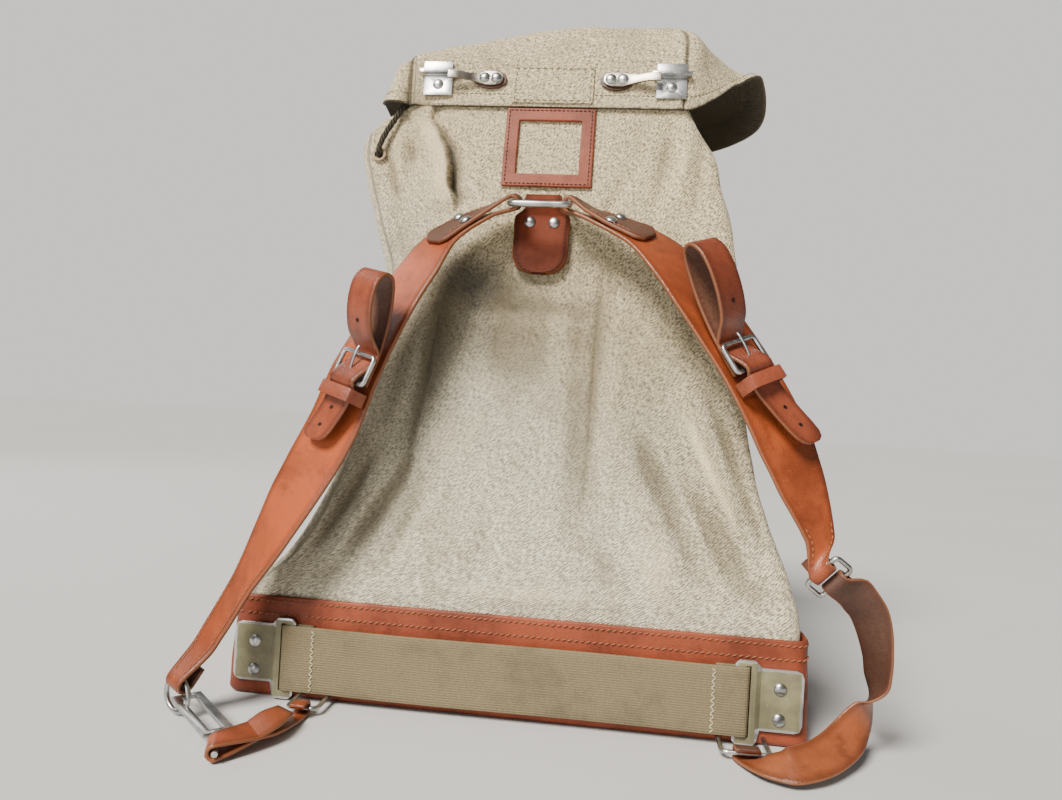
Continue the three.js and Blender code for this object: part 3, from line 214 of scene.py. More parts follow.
STRAP_RIGHT = [
    [35, 33, 353, 22, 0.2, -0.25, 0.95],
    [54, 26, 346, 26, 0.35, -0.55, 0.76],
    [74, 19, 337, 34, 0.45, -0.68, 0.58],
    [93, 11, 321, 44, 0.48, -0.72, 0.5],
    [112, 4, 297, 48, 0.5, -0.73, 0.46],
    [130, -2, 272, 49, 0.5, -0.74, 0.44],
    [145, -7, 250, 49, 0.5, -0.75, 0.42],
    [159, -12, 226, 49, 0.5, -0.76, 0.38],
    [172, -16, 200, 47, 0.46, -0.8, 0.36],
    [183, -19, 174, 41, 0.5, -0.8, 0.3],
    [191.5, -22, 152, 30, 0.52, -0.8, 0.24],
    [194.5, -24, 141, 24, 0.52, -0.82, 0.2],
]

# Accessory loops; columns: way along the strap, out from it, towards the middle, width
LOOP_THICK = 2.5
LOOP_LEFT = {"row": 6, "slide": -5, "shift": 6, "over": -5, "longer": 2, "taller": 0}
LOOP_RIGHT = {"row": 6, "slide": -4, "shift": 4, "over": -9, "longer": 15, "taller": 13}
LOOP_TAIL = (25, 54)
LOOP_BOW = (-15, -61)
LOOP_ROWS = [
    [10, 4, 4, 24], [-10, 5, 4, 24], [-33, 9, 4, 24], [-52, 17, 5, 24], [-61, 25, 7, 24],
    [-61, 32, 8, 24], [-53, 37, 9, 24], [-36, 33, 9, 24], [-21, 22, 8, 24], [-12, 9.3, 8, 24],
    [-4, 11, 8, 24], [4, 15.6, 7, 24], [11, 18.2, 6, 24], [16, 14.6, 5, 24], [25, 11, 2, 24],
    [34, 9, 0, 24], [46, 7.6, -3, 24], [50, 7.4, -4, 22.4], [52.6, 7.3, -4.6, 17.6], [54, 7.2, -5, 9],
]
BUCKLE = {"half": 15.5, "reach": 10, "wire": 1.6, "corner": 3, "at": 1, "out": 14, "side": 7}
PRONG_ROWS = [[7.9, 13.9], [4.4, 15.2], [1, 16.6], [-4, 17.4], [-10, 17.6], [-13, 17.2]]
PRONG = {"thick": 0.9, "side": 7}

# Lumbar band and its plates
WEBBING = {"end": 159.9, "sewn": 138, "low": 7.2, "high": 52.8, "face": -7.4, "back": -0.5, "thick": 2}
PLATE = {"bar": 150, "neck": 166, "end": 195, "low": 11, "high": 52, "ear_low": 1, "ear_high": 57}

# Fittings at the lower ends of the straps
RING_LEFT = {"at": (-211, -46, 13.6), "radius": 11.4, "wire": 1.7, "turn": (0.9, -0.43, 0), "sag": 1.25}
STRAP_END = {"ring": 14, "link": 16, "tail": 12}
HOOK = {"at": (-203.5, -47.6, 13), "along": (0.754, -0.649, -0.096), "long": 54}
HOOK_PIN = {"along": (0.38, -0.92, -0.05), "long": 27, "radius": 2}
BASE_LOOP = {"near": -27, "far": 9, "z": 5.2, "wire": 1.6, "corner": 4}
BASE_LOOPS = {"left": (-134, 10), "right": (156, 15)}
LINK = {"at": (200, -27, 119.5), "bar": (0.6, -0.25, 0.76), "span": (0.785, 0.187, -0.59),
        "half": 13, "reach": 6.5, "corner": 3, "wire": 1.6}
LOWER = {"thick": 2.5, "eye": 16, "tail": 14, "foot_tail": 8.4}
LOWER_ROWS = [
    [216, -24, 111, 23, -0.25, -0.9, 0.3],
    [228, -18, 97, 24, -0.5, -0.8, 0.3],
    [236, -11, 73, 24, -0.75, -0.62, 0.1],
    [239, -4, 50, 24, -0.93, -0.3, -0.1],
    [233, -3, 31, 24, -0.8, 0.3, -0.5],
    [219, -18, 18, 24, -0.3, 0.62, -0.72],
    [197, -42, 13, 24, 0, 0.68, -0.73],
    [178, -52, 11, 24, 0.1, 0.56, -0.82],
    [164, -44, 7, 20, 0.1, 0.25, -0.97],
]
TIE = {"thick": 2.5, "from": -139, "to": -129, "tail": 9, "layer": 3.7, "inset": (7.6, 1),
       "mid_a": (-151, -55, 0), "mid_b": (-131, -74, 0)}

# Mouth cord; columns: place round the sack, height, distance out
EYELET = {"around": 8.03, "z": 404, "sides": 40, "bevel": 0.25, "segments": 2}
# Section of the eyelet; columns: radius, distance out
EYELET_PROFILE = [
    [3.4, -5.6], [5.5, -5.6], [5.5, -4.8], [4.2, -4.8], [4.2, 0.9], [5.5, 0.9], [5.5, 1.7], [3.4, 1.7],
]
CORD = 2.1
CORD_ROWS = [
    [8.03, 404, -14], [8.03, 404, -5], [8.03, 404, 1.5], [8.031, 404.8, 3.8],
    [8.036, 410, 4.4], [8.05, 421, 4.2], [8.07, 432, 4.2], [8.083, 440, 3.6],
    [8.087, 446.5, -1], [8.09, 442, -6.5], [8.094, 430, -8], [8.094, 418, -9],
]
RIVET = {"head": 4.2, "rise": 2.2, "wider": 1.06, "taller": 1.2, "cut": 0.2, "near": 0.05}
RIVET_BALL = {"segments": 28, "ring_count": 16, "radius": 1}
X_AXIS = np.array([1, 0, 0], float)
Y_AXIS = np.array([0, 1, 0], float)
Z_AXIS = np.array([0, 0, 1], float)
PANEL_OUT = np.array([0, -math.cos(PANEL_LEAN), math.sin(PANEL_LEAN)])
PANEL_UP = np.array([0, math.sin(PANEL_LEAN), math.cos(PANEL_LEAN)])


# Points and curves

def metres(points):
    """Points in millimetres as points of the frame."""
    return (np.asarray(points, float) + FRAME_SHIFT) * MM


def unit(vector):
    """Vectors of length one."""
    vector = np.asarray(vector, float)
    return vector / np.linalg.norm(vector, axis=-1, keepdims=True)


def lerp(a, b, share):
    """Point or value between two others."""
    return a + (b - a) * share


def on_panel(x, z, out):
    """Place on the back panel, a distance out from it."""
    return np.array([x, panel_y(z), z]) + PANEL_OUT * out


def lengths(line):
    """Distance along a line to each of its points."""
    return np.concatenate([[0], np.cumsum(np.linalg.norm(np.diff(line, axis=0), axis=1))])


def spline(points, places, closed=False):
    """Smooth curve through points, with the knots spaced by the root of the distance."""
    points = np.asarray(points, float)
    if closed:
        padded = np.concatenate([points[-1:], points, points[:2]])
        spans = len(points)
    else:
        padded = np.concatenate([[2 * points[0] - points[1]], points, [2 * points[-1] - points[-2]]])
        spans = len(points) - 1
    way = np.asarray(places, float) * spans
    row = np.clip(np.floor(way).astype(int), 0, spans - 1)
    t = (way - row)[:, None]
    p0, p1, p2, p3 = (padded[row + i] for i in range(4))
    d0, d1, d2 = (np.sqrt(np.linalg.norm(b - a, axis=1, keepdims=True)).clip(1e-4)
                  for a, b in ((p0, p1), (p1, p2), (p2, p3)))
    m1 = ((p1 - p0) / d0 - (p2 - p0) / (d0 + d1) + (p2 - p1) / d1) * d1
    m2 = ((p2 - p1) / d1 - (p3 - p1) / (d1 + d2) + (p3 - p2) / d2) * d1
    return p1 + m1 * t + (3 * (p2 - p1) - 2 * m1 - m2) * t ** 2 + (2 * (p1 - p2) + m1 + m2) * t ** 3


def column(table, pick, key):
    """Value of a table's column at a key, smooth and without overshoot."""
    keys = table[:, 0]
    slope = np.diff(table[:, pick]) / np.diff(keys)
    before, after = slope[:-1], slope[1:]
    total = np.where(before + after == 0, 1, before + after)
    inner = np.where(before * after <= 0, 0, 2 * before * after / total)
    tangent = np.concatenate([slope[:1], inner, slope[-1:]])
    row = np.clip(np.searchsorted(keys, key, side="right") - 1, 0, len(keys) - 2)
    span = keys[row + 1] - keys[row]
    t = np.clip((key - keys[row]) / span, 0, 1)
    low, high = table[row, pick], table[row + 1, pick]
    return (low * (2 * t ** 3 - 3 * t ** 2 + 1) + tangent[row] * span * (t ** 3 - 2 * t ** 2 + t)
            + high * (3 * t ** 2 - 2 * t ** 3) + tangent[row + 1] * span * (t ** 3 - t ** 2))


def ring_point(left, right, back, front, corner, back_corner, around):
    """Place and outward direction on a rounded rectangle, four sides and corners in turn."""
    edge = np.floor(around) % AROUND
    share = around - np.floor(around)
    starts = {1: -math.pi / 2, 3: 0, 5: math.pi / 2, 7: math.pi}
    angle = np.select([edge == k for k in starts], list(starts.values())) + share * math.pi / 2
    c, s = np.cos(angle), np.sin(angle)
    cases = [edge == k for k in range(AROUND)]
    near_left, near_right = left + back_corner, right - back_corner
    far_left, far_right = left + corner, right - corner
    low, high = back + back_corner, front - corner
    x = np.select(cases, [
        lerp(near_left, near_right, share), near_right + back_corner * c, right, far_right + corner * c,
        lerp(far_right, far_left, share), far_left + corner * c, left, near_left + back_corner * c,
    ])
    y = np.select(cases, [
        back, low + back_corner * s, lerp(low, high, share), high + corner * s,
        front, high + corner * s, lerp(high, low, share), low + back_corner * s,
    ])
    nx = np.select(cases, [0, c, 1, c, 0, c, -1, c])
    ny = np.select(cases, [-1, s, 0, s, 1, s, 0, s])
    return x, y, nx, ny


def crease_depth(x, z, table):
    """How far the creases of a table press the back panel in."""
    depth = np.zeros_like(x)
    for x0, z0, x1, z1, half, deep in table:
        dx, dz = x1 - x0, z1 - z0
        near = np.clip(((x - x0) * dx + (z - z0) * dz) / (dx * dx + dz * dz), 0, 1)
        away = np.hypot(x - x0 - near * dx, z - z0 - near * dz) / half
        depth += deep * np.exp(-away * away) * lerp(CREASE_END, 1, np.sin(math.pi * near))
    return depth


def pleat_depth(x, z):
    """How far the deep fold presses the panel in: a bulge, a steep wall and a slope back."""
    line = np.interp(z, PLEAT_LINE[:, 1], PLEAT_LINE[:, 0])
    share = np.interp(z, PLEAT_LINE[:, 1], PLEAT_LINE[:, 2])
    away = x - line
    wall = np.clip(away / PLEAT["wall"] + 0.5, 0, 1)
    wall = wall * wall * (3 - 2 * wall)
    bulge = -PLEAT["bulge"] * np.exp(-(away / PLEAT["bulge_half"]) ** 2)
    valley = PLEAT["deep"] * np.exp(-(away / PLEAT["deep_half"]) ** 2)
    return lerp(bulge, valley, wall) * share


def sack_point(around, z, inset=0.0, tables=(CREASES,), wrinkle=0.0, pleated=False):
    """Points of the sack's outer face, and how deep each lies in a fold."""
    around, z = np.broadcast_arrays(np.asarray(around, float), np.asarray(z, float))
    left, right, back, front, corner, tuck = (column(SACK_SECTIONS, i, z) for i in range(1, 7))
    x, y, nx, ny = ring_point(left, right, back, front, corner, SACK_BACK_CORNER + 0 * z, around)
    edge = np.floor(around) % AROUND
    swell = np.sin(math.pi * (around - np.floor(around)))
    push = np.where(edge == 4, FRONT_BELLY * swell * np.minimum(1, tuck / BELLY_TUCK), 0.0)
    push -= np.where((edge == 2) | (edge == 6), tuck * swell * swell, 0.0)
    fade = np.clip((z - BASE_HEIGHT - CREASE_FADE[0]) / (CREASE_FADE[1] - CREASE_FADE[0]), 0, 1)
    fade = fade * fade * (3 - 2 * fade)
    deep = sum(crease_depth(x, z, table) for table in tables)
    if pleated:
        deep = deep + pleat_depth(x, z)
    deep = deep * np.maximum(0, -ny) * fade
    loose = wrinkle * fade
    push = push - deep + loose - inset
    points = np.stack([x + nx * push, y + ny * push, z], axis=-1)
    return points, deep - loose


# Straps: rows of two edge points each

def placed(table):
    """Centres, facings square to the way and widths of a strap's rows."""
    table = np.asarray(table, float)
    at, width, out = table[:, :3], table[:, 3], table[:, 4:7]
    along = unit(neighbours(at))
    out = unit(out - along * np.sum(out * along, axis=1, keepdims=True))
    return at, out, width


def neighbours(at):
    """Step from the row before to the row after, at every row."""
    after = np.concatenate([at[1:], at[-1:]])
    before = np.concatenate([at[:1], at[:-1]])
    return after - before


def edges(at, out, width):
    """Edge points from centres, facings and widths."""
    across = unit(np.cross(neighbours(at), out)) * np.asarray(width, float)[:, None] / 2
    return np.stack([at - across, at + across], axis=1)


def smooth_rows(at, out, width, steps=2):
    """Rows of a strap at closer steps."""
    places = np.linspace(0, 1, (len(at) - 1) * steps + 1)
    wide = np.interp(places * (len(at) - 1), np.arange(len(at)), width)
    return spline(at, places), unit(spline(out, places)), wide


def half_turn(a, b, radius, start, via, steps=6):
    """Rows of a half turn round a bar from a to b."""
    angle = np.linspace(0, math.pi, steps + 1)[:, None]
    arm = (np.asarray(start) * np.cos(angle) + np.asarray(via) * np.sin(angle)) * radius
    return np.stack([np.asarray(a) + arm, np.asarray(b) + arm], axis=1)


def folded_end(last_at, last_out, bar, axis, width, radius, tail, front):
    """Rows of a strap's end, turned round a bar and folded back."""
    along = bar - last_at
    across = unit(axis)
    if np.dot(across, np.cross(along, last_out)) < 0:
        across = -across
    along = unit(along - across * np.dot(along, across))
    start = unit(np.cross(along, across))
    if np.dot(start, front) < 0:
        start = -start
    rows = half_turn(bar - across * width / 2, bar + across * width / 2, radius, start, along)
    return np.concatenate([rows, rows[-1:] - along * tail])


FINE_STEPS = 4
TAB_STEPS = 3


def finer(rows, steps=FINE_STEPS):
    """Rows at closer steps, each edge on a smooth curve."""
    places = np.linspace(0, 1, (len(rows) - 1) * steps + 1)
    return np.stack([spline(rows[:, 0], places), spline(rows[:, 1], places)], axis=1)


def lift_of(rows):
    """Direction of a strap's grain side, row by row."""
    along = neighbours(rows.sum(axis=1))
    return unit(np.cross(along, rows[:, 1] - rows[:, 0]))


def along_band(rows, share, inset, height):
    """Line along a strap: a share of its width, an inset from that edge, a height over its middle."""
    across = unit(rows[:, 1] - rows[:, 0])
    toward = 1 if share < 0.5 else -1
    line = lerp(rows[:, 0], rows[:, 1], share) + across * inset * toward
    lift = lift_of(rows)
    return line + lift * height, lift * np.sign(height)


# Meshes

def make_piece(name, points, faces, uv=None, fields=None):
    """Object of one smooth mesh, from points in millimetres, its faces turned outward."""
    mesh = bpy.data.meshes.new(name)
    mesh.from_pydata(metres(points).tolist(), [], faces)
    corner = np.zeros(len(mesh.loops), dtype=np.int32)
    mesh.loops.foreach_get("vertex_index", corner)
    if uv is not None:
        layer = mesh.uv_layers.new(name="UVMap")
        layer.data.foreach_set("uv", (np.asarray(uv, float)[corner] * MM).ravel())
    for field, values in (fields or {}).items():
        made = mesh.attributes.new(field, "FLOAT", "POINT")
        made.data.foreach_set("value", np.asarray(values, np.float32).ravel())
    mesh.polygons.foreach_set("use_smooth", np.ones(len(mesh.polygons), dtype=bool))
    piece = linked(name, mesh)
    outward(piece)
    return piece


def linked(name, data):
    """Object of a mesh, curve, light or camera, put in the scene."""
    made = bpy.data.objects.new(name, data)
    bpy.context.scene.collection.objects.link(made)
    return made


def primitive(name, kind, **settings):
    """One of Blender's own shapes."""
    bpy.ops.object.select_all(action="DESELECT")
    getattr(bpy.ops.mesh, "primitive_" + kind + "_add")(**settings)
    piece = bpy.context.view_layer.objects.active
    piece.name = name
    return piece


def settle(piece, look, slot, *nodes):
    """Give a finished piece its material, hang it from the root and hide the nodes it stands for; its slot is
    not used.
    """
    piece.data.materials.clear()
    piece.data.materials.append(looks()[look])
    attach(piece, "root")
    if nodes:
        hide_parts(*nodes)


def grid_faces(rows, columns, closed_rows=False, closed_columns=False):
    """Quads of a grid of points."""
    faces = []
    for i in range(rows if closed_rows else rows - 1):
        for j in range(columns if closed_columns else columns - 1):
            k, m = (i + 1) % rows, (j + 1) % columns
            faces.append((i * columns + j, i * columns + m, k * columns + m, k * columns + j))
    return faces


def tube_faces(rows, columns):
    """Quads of a tube of points, with a face over each end."""
    ends = [tuple(reversed(range(columns))), tuple(range((rows - 1) * columns, rows * columns))]
    return grid_faces(rows, columns, closed_columns=True) + ends


def repeated(faces, count):
    """Faces of several shapes alike, one after another."""
    size = max(max(face) for face in faces) + 1
    return [tuple(index + size * i for index in face) for i in range(count) for face in faces]


# Section of a strap: steps of its edges, their grain, rounding as a share of the thickness, steps
# across its face, and the shift of the underside's map
EDGE_STEPS = 3
EDGE_GRAIN = 0.8
BAND_ROUND = 0.42
WEBBING_ROUND = 0.45
FACE_STEPS = (0.12, 0.3, 0.5, 0.7, 0.88)
UNDER_SHIFT = 100


def band_section(thick, rounding):
    """Outline of a strap's section; columns: edge it counts from, inset, share across, height, grain."""
    half = thick / 2
    near = [(0, rounding * (1 - math.sin(a)), 0, half - rounding * (1 - math.cos(a)), EDGE_GRAIN)
            for a in np.linspace(math.pi / 2, 0, EDGE_STEPS)]
    face = [(0, 0, share, half, 1.0) for share in FACE_STEPS]
    far = [(1, inset, 1, height, grain) for _, inset, _, height, grain in reversed(near)]
    over = near + face + far
    under = [(edge, inset, share, -height, 1 - grain) for edge, inset, share, height, grain in over]
    return over + under[::-1]


def band_piece(name, rows, thick, flip=False, rounding=BAND_ROUND, doubled=False):
    """Strap with rounded edges; flip puts the grain on the other side, doubled on both."""
    section = band_section(thick, thick * rounding)
    across = rows[:, 1] - rows[:, 0]
    width = np.linalg.norm(across, axis=1)
    side = across / width[:, None]
    lift = lift_of(rows)
    middle = rows.mean(axis=1)
    way = lengths(middle)
    points, uv, grain, rim = [], [], [], []
    for edge, inset, share, height, side_grain in section:
        start = rows[:, 0] + across * share
        over = inset * (1 if edge == 0 else -1)
        points.append(start + side * over + lift * height)
        from_a = share * width + over
        uv.append(np.stack([from_a + (0 if height > 0 else UNDER_SHIFT), way], axis=1))
        grain.append(np.full(len(rows), 1 - side_grain if flip else side_grain))
        rim.append(np.minimum(from_a, width - from_a))
    points, uv, grain, rim = (np.stack(part, axis=1) for part in (points, uv, grain, rim))
    if doubled:
        grain = np.ones_like(grain)
    count, size = points.shape[:2]
    fields = {"grain": grain, "rim": rim * MM}
    faces = [face[::-1] for face in tube_faces(count, size)]
    return make_piece(name, points.reshape(-1, 3), faces, uv.reshape(-1, 2), fields)


def outward(piece):
    """Turn all faces of a piece outward."""
    only(piece)
    bpy.ops.object.mode_set(mode="EDIT")
    bpy.ops.mesh.select_all(action="SELECT")
    bpy.ops.mesh.normals_make_consistent(inside=False)
    bpy.ops.object.mode_set(mode="OBJECT")


def only(*pieces):
    """Select these pieces alone, the first one active."""
    bpy.ops.object.select_all(action="DESELECT")
    for piece in pieces:
        piece.select_set(True)
    bpy.context.view_layer.objects.active = pieces[0]


def moved_to(piece, origin, u, v):
    """Take a piece modelled about the origin, in millimetres, to a place and two directions."""
    normal = np.cross(u, v)
    spot = metres(origin)
    matrix = Matrix(np.column_stack([np.array([u, v, normal]).T * MM, spot]).tolist() + [[0, 0, 0, 1]])
    piece.data.transform(matrix)
    outward(piece)
    return piece


def modify(piece, kind, **settings):
    """Add a modifier to a piece and apply it."""
    only(piece)
    modifier = piece.modifiers.new(kind.title(), kind)
    for key, value in settings.items():
        setattr(modifier, key, value)
    bpy.ops.object.modifier_apply(modifier=modifier.name)


def bevelled(piece, width, steps, angle):
    """Round the edges of a piece that are sharper than an angle."""
    modify(piece, "BEVEL", width=width, segments=steps, limit_method="ANGLE", angle_limit=angle)


# Steps of round wires, their corners and bevels, and the distance at which points are welded
WIRE_ROUND = 4
CORNER_STEPS = 8
BEVEL_STEPS = 3
WELD = 1e-6
# Rounding of the edges of the pieces made from nodes
ROUND = {"keeper": 0.45, "plate": 0.55, "hook": 0.6, "clasp": 0.4, "backing": 0.5}
FLAT, SHARP, SMOOTH, SQUARE, DOMED = (math.radians(angle) for angle in (1, 35, 40, 60, 50))


def resized(*shares):
    """Stretch the active mesh along each axis, and stay in edit mode."""
    bpy.ops.object.mode_set(mode="EDIT")
    bpy.ops.transform.resize(value=shares)


def wire_piece(name, path, radius):
    """Round wire along a path of points in millimetres."""
    curve = bpy.data.curves.new(name, "CURVE")
    curve.dimensions = "3D"
    line = curve.splines.new("POLY")
    line.points.add(len(path) - 1)
    line.points.foreach_set("co", np.column_stack([metres(path), np.ones(len(path))]).ravel())
    curve.bevel_depth = radius * MM
    curve.bevel_resolution = WIRE_ROUND
    curve.use_fill_caps = True
    only(linked(name, curve))
    bpy.ops.object.convert(target="MESH")
    bpy.ops.object.shade_smooth()
    return bpy.context.view_layer.objects.active


def wire_loop(name, centre, u, v, half_u, half_v, kind):
    """Wire bent into a rounded rectangle: a plane with rounded corners, its edge made round."""
    piece = primitive(name, "plane", size=2)
    resized(half_u, half_v, 1)
    bpy.ops.mesh.bevel(offset=kind["corner"], segments=CORNER_STEPS, affect="VERTICES")
    bpy.ops.mesh.delete(type="ONLY_FACE")
    bpy.ops.object.mode_set(mode="OBJECT")
    bpy.ops.object.convert(target="CURVE")
    piece.data.bevel_depth = kind["wire"]
    piece.data.bevel_resolution = WIRE_ROUND
    bpy.ops.object.convert(target="MESH")
    bpy.ops.object.shade_smooth()
    return moved_to(piece, centre, u, v)


def refined(node, name, bevel, look, slot):
    """Finished copy of a node, welded, its flat faces joined up and its edges rounded."""
    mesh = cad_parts[node].data.copy()
    mesh.name = name
    piece = linked(name, mesh)
    only(piece)
    bpy.ops.object.mode_set(mode="EDIT")
    bpy.ops.mesh.select_all(action="SELECT")
    bpy.ops.mesh.remove_doubles(threshold=WELD)
    bpy.ops.mesh.dissolve_limited(angle_limit=FLAT)
    bpy.ops.object.mode_set(mode="OBJECT")
    bevelled(piece, bevel * MM, BEVEL_STEPS, SHARP)
    bpy.ops.object.shade_smooth_by_angle(angle=SMOOTH)
    settle(piece, look, slot, node)


# Stitches: one short thread each, joined into one mesh

# Rings of one stitch; columns: share of its length, of its radius, rise
STITCH_RINGS = ((-0.5, 0.3, -0.7), (-0.38, 0.85, 0.1), (0, 1, 0.45), (0.38, 0.85, 0.1), (0.5, 0.3, -0.7))
STITCH_SIDES = 6
STITCH_WOBBLE = {"rate": 12.9898, "turn": 0.09, "stretch": 0.07}
STITCH_REACH = 0.5
# Kinds of stitch: pitch, length, share of the thread's radius
STITCHES = {
    "frame": (3.3, 2.5, 0.8), "tab": (3.4, 2.6, 0.8), "hem": (3.6, 2.6, 0.7), "patch": (5.2, 3.6, 0.85),
    "seam": (3.4, 2.5, 0.7), "strap": (4.0, 3.0, 0.8),
}


def stitch_points(line, normals, pitch, length, radius, slant=0.0):
    """Points of the stitches along a line, and how many there are."""
    line = np.asarray(line, float)
    normals = np.broadcast_to(np.asarray(normals, float), line.shape)
    way = lengths(line)
    spots = np.arange(pitch / 2, way[-1], pitch)

    def at_way(places, table):
        """Rows of a table at distances along the line."""
        return np.stack([np.interp(places, way, table[:, i]) for i in range(3)], axis=1)

    at = at_way(spots, line)
    up = unit(at_way(spots, normals))
    ahead = at_way(np.minimum(spots + STITCH_REACH, way[-1]), line)
    along = unit(ahead - at_way(np.maximum(spots - STITCH_REACH, 0), line))
    side = unit(np.cross(up, along))
    c, s = math.cos(math.radians(slant)), math.sin(math.radians(slant))
    along, side = along * c + side * s, side * c - along * s
    wobble = np.sin(spots * STITCH_WOBBLE["rate"])[:, None]
    along = unit(along + side * STITCH_WOBBLE["turn"] * wobble)
    made = []
    for share, thick, rise in STITCH_RINGS:
        for k in range(STITCH_SIDES):
            angle = 2 * math.pi * k / STITCH_SIDES
            made.append(at + along * share * length * (1 + STITCH_WOBBLE["stretch"] * wobble)
                        + side * radius * thick * math.cos(angle)
                        + up * radius * (rise + thick * math.sin(angle)))
    return np.stack(made, axis=1).reshape(-1, 3), len(spots)


def sewn(kind, line, normals, sizes):
    """Stitches of a kind along a line."""
    pitch, length, share = STITCHES[kind]
    return stitch_points(line, normals, pitch, length, sizes.thread / MM * share)


def stitch_piece(name, runs):
    """One mesh of all the stitches of several runs."""
    faces = repeated(tube_faces(len(STITCH_RINGS), STITCH_SIDES), sum(run[1] for run in runs))
    return make_piece(name, np.concatenate([run[0] for run in runs]), faces)


# Shader maths

class Value:
    """Output of a shader node; arithmetic on it adds maths nodes."""

    def __init__(self, finish, socket):
        self.finish = finish
        self.socket = socket

    def maths(self, operation, first, second):
        return self.finish.add("ShaderNodeMath", {"operation": operation}, {0: first, 1: second})

    def __add__(self, other):
        return self.maths("ADD", self, other)

    def __radd__(self, other):
        return self.maths("ADD", other, self)

    def __sub__(self, other):
        return self.maths("SUBTRACT", self, other)

    def __rsub__(self, other):
        return self.maths("SUBTRACT", other, self)

    def __mul__(self, other):
        return self.maths("MULTIPLY", self, other)

    def __truediv__(self, other):
        return self.maths("DIVIDE", self, other)


class Finish:
    """A material being built: nodes come from add() and end in its surface."""

    def __init__(self, name, **fixed):
        self.material = bpy.data.materials.new(name)
        self.material.use_nodes = True
        self.tree = self.material.node_tree
        self.tree.nodes.clear()
        self.surface = self.tree.nodes.new("ShaderNodeBsdfPrincipled")
        output = self.tree.nodes.new("ShaderNodeOutputMaterial")
        self.tree.links.new(self.surface.outputs[0], output.inputs["Surface"])
        self.done(**fixed)

    def add(self, kind, settings=None, inputs=None, pick=0):
        """Any node: its type, its settings, and the values or links of its sockets."""
        node = self.tree.nodes.new(kind)
        for key, value in (settings or {}).items():
            setattr(node, key, value)
        for key, value in (inputs or {}).items():
            self.plug(node.inputs[key], value)
        return Value(self, node.outputs[pick])

    def plug(self, socket, value):
        """Link or set one socket."""
        if isinstance(value, Value):
            self.tree.links.new(value.socket, socket)
        else:
            socket.default_value = value

    def place(self, output="Object"):
        return self.add("ShaderNodeTexCoord", pick=output)

    def field(self, name):
        return self.add("ShaderNodeAttribute", {"attribute_name": name}, pick="Fac")

    def split(self, vector):
        return [self.add("ShaderNodeSeparateXYZ", None, {0: vector}, pick=axis) for axis in range(3)]

    def stretch(self, vector, scale, turn=0.0):
        return self.add("ShaderNodeMapping", None,
                        {"Vector": vector, "Scale": scale, "Rotation": (0, 0, turn)})

    def noise(self, vector, scale, detail=3.0, roughness=0.55, distortion=0.0):
        inputs = {"Vector": vector, "Scale": scale, "Detail": detail, "Roughness": roughness,
                  "Distortion": distortion}
        return self.add("ShaderNodeTexNoise", None, inputs)

    def cells(self, vector, scale):
        return self.add("ShaderNodeTexVoronoi", {"feature": "F1"}, {"Vector": vector, "Scale": scale})

    def step(self, value, low, high, start=0.0, end=1.0):
        inputs = {"Value": value, "From Min": low, "From Max": high, "To Min": start, "To Max": end}
        return self.add("ShaderNodeMapRange", {"interpolation_type": "SMOOTHSTEP"}, inputs)

    def function(self, operation, value, other=0.0):
        return self.add("ShaderNodeMath", {"operation": operation}, {0: value, 1: other})

    def mix(self, share, first, second):
        colours = [(*c, 1) if isinstance(c, tuple) and len(c) == 3 else c for c in (first, second)]
        inputs = {0: share, 6: colours[0], 7: colours[1]}
        return self.add("ShaderNodeMix", {"data_type": "RGBA"}, inputs, pick=2)

    def over(self, tint, value, steps, colour):
        """Colour laid over another as a value goes through its steps."""
        return self.mix(self.step(value, *steps), tint, colour)

    def bump(self, height, distance, strength=1.0):
        inputs = {"Height": height, "Distance": distance, "Strength": strength}
        return self.add("ShaderNodeBump", None, inputs)

    def done(self, **sockets):
        """Plug values into the surface."""
        for key, value in sockets.items():
            self.plug(self.surface.inputs[key.replace("_", " ")], value)
        return self.material


def rgb(colour):
    """Colour property as a plain tuple."""
    return tuple(colour)[:3]


def shade(colour, share):
    """A darker or lighter form of a colour."""
    return tuple(min(1.0, part * share) for part in rgb(colour))


# Materials

# Weave of the canvas: turn of its ribs, stretch of the flecks each way, spacing of the ribs
TWILL_SLANT = math.radians(50)
TWILL_FLECKS = (980, 350, 1)
TWILL_GRAIN = (1900, 900, 1)
TWILL_PITCH = 0.0014
# Depth that marks the inner face of the canvas, in millimetres, to give it painted shade
INSIDE = 100.0
# Painted shade in the folds, with some grime, painted highlight on the ridges and painted shade on the inner
# face, by depth in a fold, in metres; columns: depths, share at each, colour, shade of it
FOLD_SHADE_AND_HIGHLIGHT = (
    (0.0006, 0.0055, 0, 0.62, "canvas_dark", 0.9),
    (0.006, 0.0095, 0, 0.8, "canvas_dark", 0.2),
    (-0.0045, -0.0004, 0.6, 0, "canvas_light", 1.15),
    (0.05, 0.06, 0, 0.82, "canvas_dark", 0.5),
)
# Painted shadow of the straps and the tab on the back panel, with some grime, in metres; columns: x, z, half
# width, half height, lean, strength
SHADOWS_AND_GRIME = (
    (-0.056, 0.308, 0.04, 0.03, 0.0, 0.72),
    (-0.032, 0.300, 0.038, 0.024, 0.0, 0.66),
    (0.01, 0.262, 0.13, 0.11, 0.0, 0.24),
    (0.088, 0.215, 0.05, 0.1, -0.3, 0.2),
    (-0.040, 0.274, 0.032, 0.042, 0.0, 0.42),
    (-0.070, 0.262, 0.014, 0.085, 0.04, 0.5),
    (-0.088, 0.225, 0.024, 0.07, 0.1, 0.2),
)


